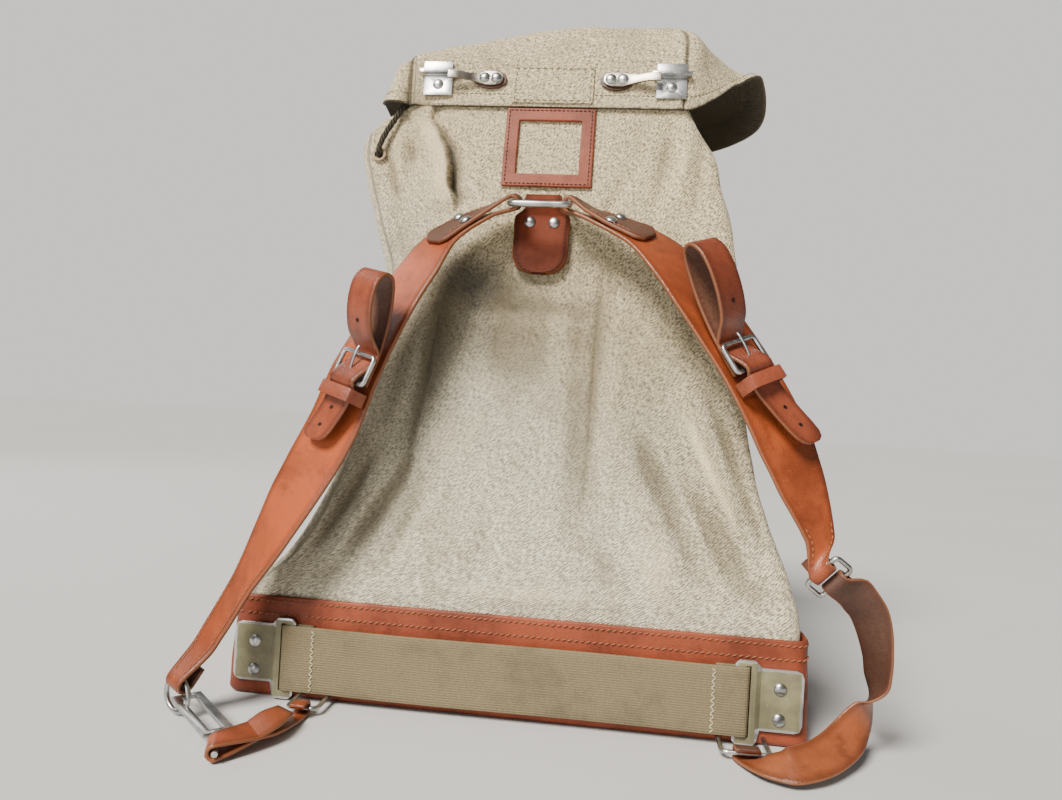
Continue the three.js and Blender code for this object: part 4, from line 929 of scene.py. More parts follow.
def canvas_look(colours):
    """Salt-and-pepper twill, warm above and grey below; painted shade and grime in the folds, painted
    highlight on the ridges, painted shadow of the harness with some grime, and painted shade on the inner
    face.
    """
    look = Finish("salt_and_pepper_canvas", Roughness=0.92, Sheen_Weight=0.1)
    uv = look.place("UV")
    spot = look.place()
    slant = look.stretch(uv, (1, 1, 1), TWILL_SLANT)
    ribs = look.noise(look.stretch(slant, TWILL_FLECKS), 1, 2)
    grain = look.noise(look.stretch(slant, TWILL_GRAIN), 1, 2)
    clumps = look.noise(uv, 190, 3)
    across, _, _ = look.split(slant)
    warped = across + (look.noise(uv, 500, 2) - 0.5) * 0.0008
    twill = look.function("SINE", warped * (2 * math.pi / TWILL_PITCH))
    flecks = ribs * 0.55 + grain * 0.3 + clumps * 0.15 + twill * 0.02
    tone = look.step(flecks, 0.37, 0.58)
    warm = look.mix(tone, rgb(colours.canvas_dark), rgb(colours.canvas_light))
    grey = look.mix(tone, shade(colours.canvas_grey, 0.36), rgb(colours.canvas_grey))
    x, y, z = look.split(spot)
    broad = look.noise(spot, 7, 4, 0.6)
    low = look.step(z + x * 0.8 + (broad - 0.5) * 0.25, 0.16, 0.36, 0.85, 0.05)
    cloth = look.mix(low, warm, grey)
    patches = look.noise(spot, 24, 5, 0.65)
    cloth = look.over(cloth, patches, (0.46, 0.76, 0, 0.42), shade(colours.canvas_dark, 1.5))
    # Painted shadow of the harness on the back panel, with some grime
    shadow_and_grime_colour = shade(colours.canvas_grey, 0.055)
    harness = look.step(y, -0.03, 0.0, 1, 0)
    for at_x, at_z, half_x, half_z, lean, strength in SHADOWS_AND_GRIME:
        over = (x - at_x - (z - at_z) * lean) / half_x
        rise = (z - at_z) / half_z
        away = look.function("SQRT", over * over + rise * rise) + (patches - 0.5) * 0.9
        cloth = look.mix(look.step(away, 0.0, 1.1, strength, 0) * harness, cloth, shadow_and_grime_colour)
    fold = look.field("fold")
    # Painted shade in the folds and on the inner face, painted highlight on the ridges
    for low, high, start, end, colour, share in FOLD_SHADE_AND_HIGHLIGHT:
        painted_fold_light = shade(getattr(colours, colour), share)
        cloth = look.over(cloth, fold, (low, high, start, end), painted_fold_light)
    fuzz = look.noise(spot, 1700, 2)
    height = tone * 0.8 + twill * 0.1 + fuzz * 0.2
    return look.done(Base_Color=cloth, Normal=look.bump(height, 0.0008, 0.85))


def leather_look(name, light, dark, flesh, edge, sided, gloss, shine):
    """Worn leather: grained and mottled on one side, felted on the other, raw along the edges, with a band of
    painted shade just inside them.
    """
    look = Finish(name, Specular_IOR_Level=shine)
    spot = look.place()
    mottle = look.noise(spot, 13, 5, 0.6, 0.5)
    stain = look.noise(spot, 48, 6, 0.7)
    tint = look.over(dark, mottle, (0.32, 0.66), light)
    tint = look.over(tint, stain, (0.48, 0.74, 0, 0.6), shade(dark, 0.6))
    scuff = look.noise(look.stretch(spot, (60, 240, 420)), 1, 4, 0.7)
    tint = look.over(tint, scuff, (0.6, 0.78, 0, 0.4), shade(light, 1.6))
    pores = look.cells(spot, 1150)
    tint = look.over(tint, pores, (0.0, 0.35, 0.35, 0), shade(dark, 0.4))
    felt = look.noise(spot, 420, 5, 0.7)
    raw = look.over(shade(flesh, 0.78), felt, (0.3, 0.7), shade(flesh, 1.18))
    raw = look.over(raw, mottle, (0.4, 0.7, 0, 0.45), shade(flesh, 0.5))
    wrinkle = look.noise(look.stretch(spot, (150, 150, 260)), 1, 4, 0.6, 0.8)
    height = pores * 0.45 + wrinkle * 0.9 + stain * 0.5
    if sided:
        grain = look.step(look.field("grain"), 0.35, 0.65)
        tint = look.mix(grain, raw, tint)
        rim = look.field("rim") + (felt - 0.5) * 0.0012
        # Painted shade darkens a band along the edges
        tint = look.over(tint, rim, (0.0014, 0.0065, 0.55, 0), shade(dark, 0.55))
        tint = look.over(tint, rim, (0.0003, 0.0011, 0.6, 0), edge)
        rough = (1 - grain) * 0.18 + gloss + stain * 0.24
    else:
        rough = gloss + 0.06 + stain * 0.25
    return look.done(Base_Color=tint, Roughness=rough, Normal=look.bump(height, 0.0006, 0.5))


RIB_PITCH = 0.0017
PICK_PITCH = 0.0011
STRAND_PITCH = 0.0036


def webbing_look(colours):
    """Khaki webbing with ribs along it."""
    look = Finish("ribbed_webbing", Roughness=0.9)
    uv = look.place("UV")
    across, along, _ = look.split(uv)
    rib = look.function("SINE", across * (2 * math.pi / RIB_PITCH))
    pick = look.function("SINE", along * (2 * math.pi / PICK_PITCH))
    thread = look.noise(look.stretch(uv, (900, 500, 1)), 1, 3)
    tint = look.over(shade(colours.webbing, 0.86), rib, (-0.9, 0.3), rgb(colours.webbing))
    tint = look.over(tint, thread, (0.4, 0.65, 0, 0.35), shade(colours.webbing, 1.4))
    grime = look.noise(look.place(), 26, 5, 0.7)
    tint = look.over(tint, grime, (0.45, 0.72, 0, 0.55), shade(colours.webbing, 0.5))
    height = rib * 0.16 + pick * 0.08 + thread * 0.12
    return look.done(Base_Color=tint, Normal=look.bump(height, 0.0006, 0.9))


def paint_look(colours):
    """Olive paint, worn to bare metal along the rims of the plates."""
    look = Finish("olive_paint")
    spot = look.place()
    x, _, z = look.split(spot)
    x = look.function("ABSOLUTE", x)

    def inside(low_x, high_x, low_z, high_z):
        """Distance from the nearest side of a box, less than nothing inside it."""
        wide = look.function("MAXIMUM", low_x * MM - x, x - high_x * MM)
        tall = look.function("MAXIMUM", low_z * MM - z, z - high_z * MM)
        return look.function("MAXIMUM", wide, tall)

    body = inside(PLATE["bar"], PLATE["end"], PLATE["low"], PLATE["high"])
    ears = inside(PLATE["bar"], PLATE["neck"], PLATE["ear_low"], PLATE["ear_high"])
    outline = look.function("MINIMUM", body, ears)
    chips = look.noise(spot, 160, 6, 0.75)
    rim = look.step(outline + (chips - 0.5) * 0.0022, -0.0021, -0.0008)
    bare = look.function("MAXIMUM", rim, look.step(chips, 0.66, 0.72))
    blotch = look.noise(spot, 45, 5, 0.65)
    tint = look.over(shade(colours.paint, 0.6), blotch, (0.35, 0.7), rgb(colours.paint))
    tint = look.mix(bare, tint, rgb(colours.steel))
    height = look.noise(spot, 420, 4) * 0.5 - bare * 0.4
    return look.done(Base_Color=tint, Metallic=bare * 0.9, Roughness=0.5 - bare * 0.2,
                     Normal=look.bump(height, 0.0003, 0.6))


def steel_look(name, steel, tarnish):
    """Bare or plated steel, a little tarnished."""
    look = Finish(name, Metallic=1.0)
    spot = look.place()
    cloud = look.noise(spot, 70, 5, 0.6)
    scratch = look.noise(look.stretch(spot, (300, 1500, 900)), 1, 4, 0.7)
    tint = look.over(shade(steel, 0.62), cloud, (0.35, 0.7), shade(steel, 1.12))
    rust = look.step(look.noise(spot, 210, 6, 0.75), 0.6, 0.74, 0, 0.7)
    tint = look.mix(rust, tint, tarnish)
    rough = 0.2 + cloud * 0.24 + rust * 0.3
    return look.done(Base_Color=tint, Roughness=rough, Normal=look.bump(scratch, 0.00015, 0.35))


def cord_look(colours):
    """Dark cord of twisted strands, with painted shade between the strands and a painted highlight on their
    crests.
    """
    look = Finish("twisted_cord", Roughness=0.85)
    uv = look.place("UV")
    around, along, _ = look.split(uv)
    strand = look.function("SINE", (around * 1.1 + along) * (2 * math.pi / STRAND_PITCH))
    hair = look.noise(look.stretch(uv, (700, 1600, 1)), 1, 3)
    # Painted shade in the grooves between the strands, painted highlight on their crests
    tint = look.over(shade(colours.cord, 0.4), strand, (-0.7, 0.6), rgb(colours.cord))
    tint = look.over(tint, strand, (0.55, 0.95, 0, 0.5), shade(colours.cord, 4.0))
    return look.done(Base_Color=tint, Normal=look.bump(strand + hair * 0.4, 0.0012, 0.9))


def thread_look(name, colour):
    """Matt finish of threads, the painted shade of the punched holes, and the eyelet: one colour, streaked
    and dulled in places.
    """
    look = Finish(name, Roughness=0.7)
    spot = look.place()
    ply = look.noise(look.stretch(spot, (2600, 900, 900)), 1, 3)
    grime = look.noise(spot, 65, 4, 0.7)
    tint = look.over(shade(colour, 0.66), ply, (0.35, 0.65), rgb(colour))
    tint = look.over(tint, grime, (0.46, 0.7, 0, 0.6), shade(colour, 0.4))
    return look.done(Base_Color=tint, Normal=look.bump(ply, 0.0002, 0.6))


def floor_look(colours):
    """Pale matt floor."""
    look = Finish("pale_floor", Roughness=0.85)
    cloud = look.noise(look.place(), 1.5, 3)
    tint = look.over(shade(colours.floor, 0.97), cloud, (0.3, 0.7), rgb(colours.floor))
    return look.done(Base_Color=tint)


# Leathers; columns: material, colour, its light and dark shade, shade of the flesh side,
# whether it has two sides, least roughness, shine
LEATHERS = {
    "base": ("base_leather_worn", "base_leather", 1.35, 0.62, 1, False, 0.32, 0.3),
    # The tab is the base leather at a darker shade: partly its own darker colour, partly painted shadow of
    # the ring and the straps
    "tab": ("tab_leather_with_painted_shade", "base_leather", 0.72, 0.36, 1, True, 0.5, 0.12),
    "strap": ("strap_leather_worn", "strap_leather", 1.25, 0.62, 1, True, 0.24, 0.45),
    "lower": ("lower_strap_worn", "lower_strap", 1.25, 0.55, 1, True, 0.24, 0.45),
    "loop": ("loop_leather_worn", "loop_leather", 1.3, 0.62, 2.1, True, 0.24, 0.45),
    "keeper": ("keeper_leather_worn", "loop_leather", 1.5, 0.8, 1, False, 0.24, 0.45),
    "backing": ("backing_leather_worn", "flesh_side", 1.2, 0.6, 1, False, 0.24, 0.45),
}
# Matt finishes; columns: material, colour, shade of it
MATTS = {
    # Dark discs of painted shade stand for the punched holes
    "hole": ("punched_hole", "loop_leather", 0.12),
    "eyelet": ("tarnished_eyelet", "tarnish", 2.6),
    "thread": ("cream_thread", "thread", 1),
    "leather_thread": ("tan_thread", "leather_thread", 1),
    "dark_thread": ("dark_thread", "dark_thread", 1),
    "canvas_thread": ("olive_thread", "canvas_thread", 1),
}
LOOKS = {}


def looks():
    """All the materials, made once."""
    if LOOKS:
        return LOOKS
    colours = bpy.context.scene.rucksack_colours
    edge, tarnish = rgb(colours.raw_edge), rgb(colours.tarnish)
    for key, (name, colour, light, dark, flesh, sided, gloss, shine) in LEATHERS.items():
        tone = getattr(colours, colour)
        light, dark, flesh = shade(tone, light), shade(tone, dark), shade(colours.flesh_side, flesh)
        LOOKS[key] = leather_look(name, light, dark, flesh, edge, sided, gloss, shine)
    for key, (name, colour, share) in MATTS.items():
        LOOKS[key] = thread_look(name, shade(getattr(colours, colour), share))
    LOOKS["steel"] = steel_look("plated_steel", rgb(colours.steel), tarnish)
    LOOKS["spring"] = steel_look("dull_spring_steel", rgb(colours.spring), tarnish)
    for key, make in (("canvas", canvas_look), ("webbing", webbing_look), ("paint", paint_look),
                      ("cord", cord_look), ("floor", floor_look)):
        LOOKS[key] = make(colours)
    return LOOKS


# Canvas

SACK_COLUMNS = (250, 5, 30, 6, 50, 6, 30, 5)
SACK_ROWS = 170
SACK_WAVES = ((2.6, (60, 60, 95), 3.1), (1.9, (22, 22, 46), 8.7), (0.5, (9, 9, 15), 5.3))
# Where the cloth lies flat under the frame and the tab: half width, from what height; and at the mouth
CALM_ZONES = ((44, 372), (27, 306))
CALM_MOUTH = 434
CALM_DIP = 0.7
GATE_SOFT = 3
SEED_WAY = (1, 1.7, 0.6)
LID_COLUMNS = 204
LID_STEPS = 48
LID_WAVES = ((2.0, (46, 46, 46), 2.3), (1.1, (20, 20, 20), 6.1), (0.4, (8, 8, 8), 1.9))
LID_BAND = {"deep": 6, "half": 116, "dip": 0.15}
LID_CALM = 0.2


def waves(points, layers):
    """Smooth noise at points in millimetres; columns of its layers: height, wave length each way, seed."""
    points = np.asarray(points, float)
    total = 0
    for height, length, seed in layers:
        spots = points.reshape(-1, 3) / np.asarray(length, float)
        shift = Vector([seed * part for part in SEED_WAY])
        values = np.array([noise.noise(Vector(spot) + shift) for spot in spots.tolist()])
        total = total + height * values.reshape(points.shape[:-1])
    return total


def gate(distance):
    """Smooth switch from nothing to one where a distance in millimetres passes zero."""
    return 1 / (1 + np.exp(-distance / GATE_SOFT))


def cloth_faces(rows, columns):
    """Quads of the outer and the inner face of a cloth that goes all the way round."""
    faces = grid_faces(rows, columns, closed_columns=True)
    count = rows * columns
    return faces + [tuple(index + count for index in reversed(face)) for face in faces]


def cloth_piece(name, outer, inner, faces, uv, fold):
    """Piece of two faces of canvas, with the depth of its folds and a mark on the inner face, which set its
    painted shade and painted highlight.
    """
    points = np.concatenate([outer.reshape(-1, 3), inner.reshape(-1, 3)])
    field = np.concatenate([fold.ravel(), np.full(fold.size, INSIDE)]) * MM
    return make_piece(name, points, faces, np.concatenate([uv, uv]), {"fold": field})


def mouth_height(around):
    """Height of the sack's mouth."""
    return column(MOUTH, 1, around)


def build_sack():
    """Open canvas tube, folded and creased, two faces a cloth's thickness apart."""
    around = np.concatenate([k + np.arange(n) / n for k, n in enumerate(SACK_COLUMNS)])
    share = np.linspace(0, 1, SACK_ROWS)[:, None]
    z = lerp(SACK_FOOT, mouth_height(around)[None, :], share)
    around_grid = np.broadcast_to(around, z.shape)
    plain, _ = sack_point(around_grid, z)
    x = plain[..., 0]
    wrinkle = waves(plain, SACK_WAVES)
    calm = sum(gate(half - np.abs(x)) * gate(z - low) for half, low in CALM_ZONES)
    calm = np.clip(np.where(np.floor(around_grid) == 0, calm, 0) + gate(z - CALM_MOUTH), 0, 1)
    wrinkle = np.where(wrinkle > 0, wrinkle * (1 - calm), wrinkle * (1 - CALM_DIP * calm))
    # The deep fold takes the place of the first crease
    tables = (CREASES[1:], FOLDS)
    outer, fold = sack_point(around_grid, z, 0.0, tables, wrinkle, True)
    inner, _ = sack_point(around_grid, z, CANVAS, tables, wrinkle, True)
    rows, columns = z.shape
    way = lengths(outer[rows // 2])
    uv = np.stack([np.broadcast_to(way, z.shape), z], axis=-1).reshape(-1, 2)
    faces = cloth_faces(rows, columns)
    count, top = rows * columns, (rows - 1) * columns
    for j in range(columns):
        k = (j + 1) % columns
        faces.append((top + j, top + k, top + k + count, top + j + count))
        faces.append((k, j, j + count, k + count))
    piece = cloth_piece("canvas_sack", outer, inner, faces, uv, fold)
    settle(piece, "canvas", "canvas", "sack")


# Seams of the lid by the row of its table that they follow, and the grooves beside them
LID_SEAMS = (0.0, 4.0)
LID_GROOVES = (-0.26, 4.28)
# grime: weight of the grooves beside the seams in the fold field, which darkens them with painted shade
LID_SEAM = {"half": 0.09, "rise": 1.3, "to": 0.64, "groove": 0.7, "groove_half": 0.11, "grime": 10}
LID_HEM = {"share": 0.072, "rise": 0.5}


def lid_lines(columns):
    """Lines of the lid from hem to crown, and the place of each round it."""
    places = np.arange(columns) / columns
    hem, turn, top = (spline(LID_ROWS[:, i], places, closed=True) for i in range(3))
    pole = lerp(top, np.array(LID_CENTRE, float), LID_POLE)
    shares = np.linspace(0, 1, LID_STEPS)
    lines = []
    for i in range(columns):
        line = spline([hem[i], turn[i], top[i], pole[i]], shares)
        low = shares * 3 < 1
        line[low] = lerp(hem[i], turn[i], (shares[low] * 3)[:, None])
        lines.append(line)
    return np.stack(lines, axis=1), shares, places * len(LID_ROWS)


def round_lid(station, seam):
    """Distance round the lid from a seam, in rows of its table."""
    count = len(LID_ROWS)
    return np.abs((station - seam + count / 2) % count - count / 2)


def seam_marks(station, shares, seams, half):
    """How far each point of the lid belongs to one of its seams, from nothing to one."""
    marks = sum(np.exp(-(round_lid(station, seam) / half) ** 2) for seam in seams)
    return marks[None, :] * (shares[:, None] < LID_SEAM["to"])


def on_band(points):
    """Whether points of the lid belong to its flat back band."""
    return (points[..., 1] < BAND_Y + LID_BAND["deep"]) & (np.abs(points[..., 0]) < LID_BAND["half"])


def lid_normals(points):
    """Outward directions over the lid."""
    round_it = np.roll(points, -1, axis=1) - np.roll(points, 1, axis=1)
    normal = unit(np.cross(round_it, neighbours(points)))
    facing = np.sum(normal * (points - np.array(LID_INSIDE, float)), axis=-1, keepdims=True)
    normal = normal * np.sign(np.mean(facing))
    normal[-1] = Z_AXIS
    return normal


def build_lid():
    """Canvas lid with its flat back band, slumped top and flared skirt."""
    points, shares, station = lid_lines(LID_COLUMNS)
    normal = lid_normals(points)
    wrinkle = waves(points, LID_WAVES)
    band = on_band(points)
    wrinkle = np.where(band, np.minimum(0, wrinkle) * LID_BAND["dip"], wrinkle)
    wrinkle = wrinkle * np.clip((1 - shares) / LID_CALM, 0, 1)[:, None]
    ridge = seam_marks(station, shares, LID_SEAMS, LID_SEAM["half"]) * LID_SEAM["rise"]
    groove = seam_marks(station, shares, LID_GROOVES, LID_SEAM["groove_half"])
    hem = np.where(band, 0, (shares[:, None] < LID_HEM["share"]) * LID_HEM["rise"])
    outer = points + normal * (wrinkle + ridge - groove * LID_SEAM["groove"] + hem)[..., None]
    inner = points + normal * (wrinkle - CANVAS)[..., None]
    rows, columns = points.shape[:2]
    way = lengths(points[rows // 3])
    steps = np.linalg.norm(np.diff(points, axis=0), axis=2)
    rise = np.cumsum(np.concatenate([np.zeros((1, columns)), steps]), axis=0)
    uv = np.stack([np.broadcast_to(way, (rows, columns)), rise], axis=-1).reshape(-1, 2)
    faces = cloth_faces(rows, columns)
    count, last = rows * columns, (rows - 1) * columns
    faces += [(j, j + count, (j + 1) % columns + count, (j + 1) % columns) for j in range(columns)]
    faces.append(tuple(last + j for j in range(columns)))
    faces.append(tuple(last + count + j for j in reversed(range(columns))))
    # The fold field gives painted shade to the grooves and painted highlight to the bulges of the wrinkles
    piece = cloth_piece("canvas_lid", outer, inner, faces, uv, groove * LID_SEAM["grime"] - wrinkle)
    settle(piece, "canvas", "canvas", "lid")


def sheet_on_panel(piece, sheet):
    """Thicken a flat sheet, round its edges and lay it on the back panel."""
    modify(piece, "SOLIDIFY", thickness=sheet["thick"], offset=1)
    bevelled(piece, sheet["bevel"], BEVEL_STEPS, SQUARE)
    bpy.ops.object.shade_smooth()
    moved_to(piece, on_panel(0, (sheet["low"] + sheet["high"]) / 2, sheet["out"]), X_AXIS, PANEL_UP)


def flat_uv(piece):
    """UV map of a piece on the back panel, in metres across and up it."""
    mesh = piece.data
    layer = mesh.uv_layers[0] if mesh.uv_layers else mesh.uv_layers.new(name="UVMap")
    for loop in mesh.loops:
        spot = mesh.vertices[loop.vertex_index].co
        layer.data[loop.index].uv = (spot.x, spot.z)


def build_patch():
    """Sewn canvas patch on the band of the lid."""
    cuts = PATCH["cuts"]
    piece = primitive("canvas_patch", "grid", x_subdivisions=cuts, y_subdivisions=cuts, size=2)
    resized(PATCH["half"], (PATCH["high"] - PATCH["low"]) / 2, 1)
    bpy.ops.object.mode_set(mode="OBJECT")
    sheet_on_panel(piece, PATCH)
    flat_uv(piece)
    settle(piece, "canvas", "canvas", "lid_patch")


# Leather

BASE_COLUMNS = (100, 6, 44, 10, 100, 10, 44, 6)
BASE_ROWS = (18, 8)
BASE_LIP = {"radius": 1.5, "below": 1.6, "above": 3}
BASE_WAVES = ((1.3, (70, 70, 45), 4.4), (0.5, (22, 22, 18), 7.7))
BASE_BACK = {"facing": -0.9, "most": 0.1, "share": 0.6}
BASE_CALM = (2, 10)


def base_ring(around, z, inset):
    """Ring of the base's tray at a height, inset from its outer face."""
    half = lerp(BASE_HALF, BASE_TOP_HALF, z / BASE_HEIGHT) - inset
    corner, back_corner = BASE_CORNER - inset, BASE_BACK_CORNER - inset
    x, y, nx, ny = ring_point(-half, half, inset, BASE_DEPTH - inset, corner, back_corner, around)
    full = np.broadcast_to(z, x.shape)
    return np.stack([x, y, full], axis=-1), np.stack([nx, ny, 0 * nx], axis=-1)


def build_base():
    """Leather tray that the bag stands in."""
    around = np.concatenate([k + np.arange(n) / n for k, n in enumerate(BASE_COLUMNS)])
    turn = np.linspace(0, math.pi / 2, 6)
    lip = np.linspace(0, math.pi, 7)[1:-1]
    radius, brim = BASE_LIP["radius"], BASE_HEIGHT - BASE_LIP["below"]
    inner = BASE_WALL + BASE_FILLET
    profile = [(BASE_EDGE * (1 - math.sin(a)), BASE_EDGE * (1 - math.cos(a))) for a in turn]
    profile += [(0, z) for z in np.linspace(BASE_EDGE + BASE_LIP["above"], brim, BASE_ROWS[0])]
    profile += [(radius - radius * math.cos(a), BASE_HEIGHT - radius + radius * math.sin(a)) for a in lip]
    profile += [(BASE_WALL, z) for z in np.linspace(brim, inner, BASE_ROWS[1])]
    profile += [(inner - BASE_FILLET * math.cos(a), inner - BASE_FILLET * math.sin(a)) for a in turn[1:]]
    rings = []
    for inset, z in profile:
        ring, normal = base_ring(around, z, inset)
        wave = waves(ring, BASE_WAVES)
        back = normal[:, 1] < BASE_BACK["facing"]
        wave = np.where(back, np.minimum(wave, BASE_BACK["most"]) * BASE_BACK["share"], wave)
        free = np.clip((z - BASE_CALM[0]) / BASE_CALM[1], 0, 1) if inset < radius * 2 - 0.1 else 0
        rings.append(ring + normal * (wave * free)[:, None])
    points = np.stack(rings)
    piece = make_piece("leather_tray", points.reshape(-1, 3), tube_faces(*points.shape[:2]))
    settle(piece, "base", "base_leather", "leather_base")


def build_frame():
    """Square leather frame: a plane inset, its middle cut out, thickened and rounded."""
    piece = primitive("leather_frame", "plane", size=2)
    resized(FRAME["half"], (FRAME["high"] - FRAME["low"]) / 2, 1)
    bpy.ops.mesh.inset(thickness=FRAME["half"] - FRAME["window"])
    bpy.ops.mesh.delete(type="FACE")
    bpy.ops.mesh.select_all(action="SELECT")
    bpy.ops.mesh.subdivide(number_cuts=FRAME["cuts"])
    bpy.ops.object.mode_set(mode="OBJECT")
    sheet_on_panel(piece, FRAME)
    settle(piece, "base", "base_leather", "window_frame")


def tab_rows():
    """Rows of the folded tab behind the ring."""
    bar = np.array([0, RING["far"], RING["far_z"]])
    half = X_AXIS * TAB["neck"] / 2
    radius = RING["wire"] + EYE_SLACK + TAB["thick"] / 2
    foot = [(TAB["low"] + up, TAB["wide"] * share, lift) for up, share, lift in TAB_ROWS]
    foot.append((TAB["low"] + TAB_NECK[0], TAB["neck"], TAB_NECK[1]))

    def layer(depth, share):
        """One layer of the tab, from its round foot to its neck."""
        rows = []
        for z, width, lift in foot:
            middle = on_panel(0, z, depth + lift * share)
            rows.append([middle - X_AXIS * width / 2, middle + X_AXIS * width / 2])
        return np.array(rows)

    turn = half_turn(bar - half, bar + half, radius, PANEL_OUT, PANEL_UP)
    rows = np.concatenate([layer(TAB["out"] + TAB["spread"], 1), turn, layer(TAB["out"], 0)[::-1]])
    return finer(rows, TAB_STEPS)


RING_AXIS = unit([0, RING["far"] - RING["near"], RING["far_z"] - RING["near_z"]])
RING_UP = np.array([0, -RING_AXIS[2], RING_AXIS[1]])
RING_CENTRE = np.array([0, (RING["near"] + RING["far"]) / 2, (RING["near_z"] + RING["far_z"]) / 2])
RING_REACH = math.hypot(RING["far"] - RING["near"], RING["far_z"] - RING["near_z"]) / 2
RING_TURN = unit(RING_LEFT["turn"])
LINK_SPAN = unit(LINK["span"])
LINK_BAR = unit(np.array(LINK["bar"]) - LINK_SPAN * np.dot(LINK["bar"], LINK_SPAN))


def end_fitting(side):
    """Bar, its direction, width and radius of the turn at the lower end of a shoulder strap."""
    if side > 0:
        bar = np.array(LINK["at"]) - LINK_SPAN * LINK["reach"]
        return bar, LINK_BAR, STRAP_END["link"], LINK["wire"] + EYE_SLACK + STRAP / 2
    foot = np.array(STRAP_LEFT[-1][:3]) - np.array(RING_LEFT["at"])
    top = unit(RING_TURN * np.dot(foot, RING_TURN) + Z_AXIS * foot[2])
    bar = np.array(RING_LEFT["at"]) + top * (RING_LEFT["radius"] - RING_LEFT["sag"])
    axis = np.cross(top, np.cross(RING_TURN, Z_AXIS))
    return bar, axis, STRAP_END["ring"], RING_LEFT["wire"] + RING_LEFT["sag"] + EYE_SLACK + STRAP / 2


def shoulder_rows(table, side):
    """Rows of a shoulder strap, and those where its tongue ends and its folded end starts."""
    at, out, width = placed(table)
    slope = (RING["far_z"] - RING["near_z"]) / (RING["far"] - RING["near"])
    height = RING["near_z"] + (RING["grip"] - RING["near"]) * slope
    bar = np.array([side * RING["half"], RING["grip"], height])
    top = [2, 1, 0]
    tongue = at[top] + out[top] * np.array(TONGUE["lift"])[:, None]
    tip = tongue[0] + unit(at[3] - at[2]) * TONGUE["past"]
    t_at, t_out, t_width = smooth_rows(tongue, out[top], np.full(3, TONGUE["wide"]))
    head = edges(np.concatenate([[tip], t_at]), np.concatenate([out[2:3], t_out]),
                 np.concatenate([[TONGUE["tip"]], t_width]))
    across = RING_AXIS * side * EYE_WIDE / 2
    radius = RING["wire"] + EYE_SLACK + STRAP / 2
    eye = half_turn(bar - across, bar + across, radius, RING_UP, -side * X_AXIS)
    under = edges(*smooth_rows(at, -out, width))
    end_bar, axis, end_width, end_radius = end_fitting(side)
    end = folded_end(at[-1], -out[-1], end_bar, axis, end_width, end_radius, STRAP_END["tail"], out[-1])
    last = len(head) + len(eye) + len(under)
    return finer(np.concatenate([head, eye, under, end])), len(head) * FINE_STEPS, last * FINE_STEPS


def strap_frame(table, loop, side):
    """Directions of a shoulder strap where its loop sits, and the place of a point there."""
    at, out, _ = placed(table)
    row = loop["row"]
    along = unit(at[row + 1] - at[row - 1])
    facing = unit(out[row] - along * np.dot(out[row], along))
    inward = unit(np.cross(along, facing))
    if inward[0] * side > 0:
        inward = -inward

    def place(t, n, b):
        """Point a way along, out and inward from the middle of the loop."""
        return at[row] + along * (t + loop["slide"]) + facing * n + inward * (b + loop["shift"])

    return along, facing, inward, place


def loop_rows(table, loop, side):
    """Rows of an accessory loop."""
    _, _, inward, place = strap_frame(table, loop, side)
    centres, widths = [], []
    for t, n, b, width in LOOP_ROWS:
        tail = max(0, (t - LOOP_TAIL[0]) / (LOOP_TAIL[1] - LOOP_TAIL[0]))
        bow = max(0, (t - LOOP_BOW[0]) / (LOOP_BOW[1] - LOOP_BOW[0]))
        centres.append(place(t + loop["longer"] * tail - loop["taller"] * bow, n, b + loop["over"] * tail))
        widths.append(width)
    at, across, wide = smooth_rows(centres, [inward] * len(centres), widths)
    half = across * wide[:, None] / 2
    return finer(np.stack([at - half, at + half], axis=1))


def lower_rows():
    """Rows of the lower strap, from the link to the loop at the base."""
    at, out, width = placed(LOWER_ROWS)
    bar = np.array(LINK["at"]) + LINK_SPAN * LINK["reach"]
    slack = EYE_SLACK + LOWER["thick"] / 2
    head = folded_end(at[0], -out[0], bar, LINK_BAR, LOWER["eye"], LINK["wire"] + slack,
                      LOWER["tail"], out[0])
    loop = np.array([BASE_LOOPS["right"][0], BASE_LOOP["near"], BASE_LOOP["z"]])
    foot = folded_end(at[-1], out[-1], loop, X_AXIS, LOWER["eye"], BASE_LOOP["wire"] + slack,
                      LOWER["foot_tail"], -Z_AXIS)
    return finer(np.concatenate([head[::-1], edges(*smooth_rows(at, out, width)), foot]))


def tie_rows():
    """Rows of the tab that ties the left hook to the base."""
    near, z = BASE_LOOP["near"], BASE_LOOP["z"]
    start, end = np.array([TIE["from"], near, z]), np.array([TIE["to"], near, z])
    turn = half_turn(start, end, BASE_LOOP["wire"] + EYE_SLACK + TIE["thick"] / 2, Z_AXIS, Y_AXIS)
    tail = turn[:1].copy()
    tail[..., 1] = near - TIE["tail"]
    along = unit(HOOK_PIN["along"])
    foot = np.array(HOOK["at"]) + unit(HOOK["along"]) * HOOK["long"]
    away = unit([along[1], -along[0], 0])
    up = np.cross(along, away)
    pin = half_turn(foot + along * TIE["inset"][0], foot + along * (HOOK_PIN["long"] - TIE["inset"][1]),
                    HOOK_PIN["radius"] + EYE_SLACK + TIE["thick"] / 2, -up, away)
    low = (turn[-1, 0, 2] + pin[0, 0, 2]) / 2

    def middle(height, share):
        """Row between the hook and the base."""
        a = lerp(np.array(TIE["mid_a"], float), start, share)
        b = lerp(np.array(TIE["mid_b"], float), end, share)
        a[2] = b[2] = height
        return [[a, b]]

    layer = low + TIE["layer"]
    return finer(np.concatenate([tail, turn, middle(low, 0), pin, middle(layer, 0), middle(layer, 0.5)]))


# Waviness of the band's edges and face, and the steps of its turns, its tails and its face
SWAY = {"height": 0.35, "length": 43, "lag": 0.4, "bow": 0.25, "bow_length": 40, "calm": 14, "fade": 30}
WEBBING_STEPS = (9, 6, 90)


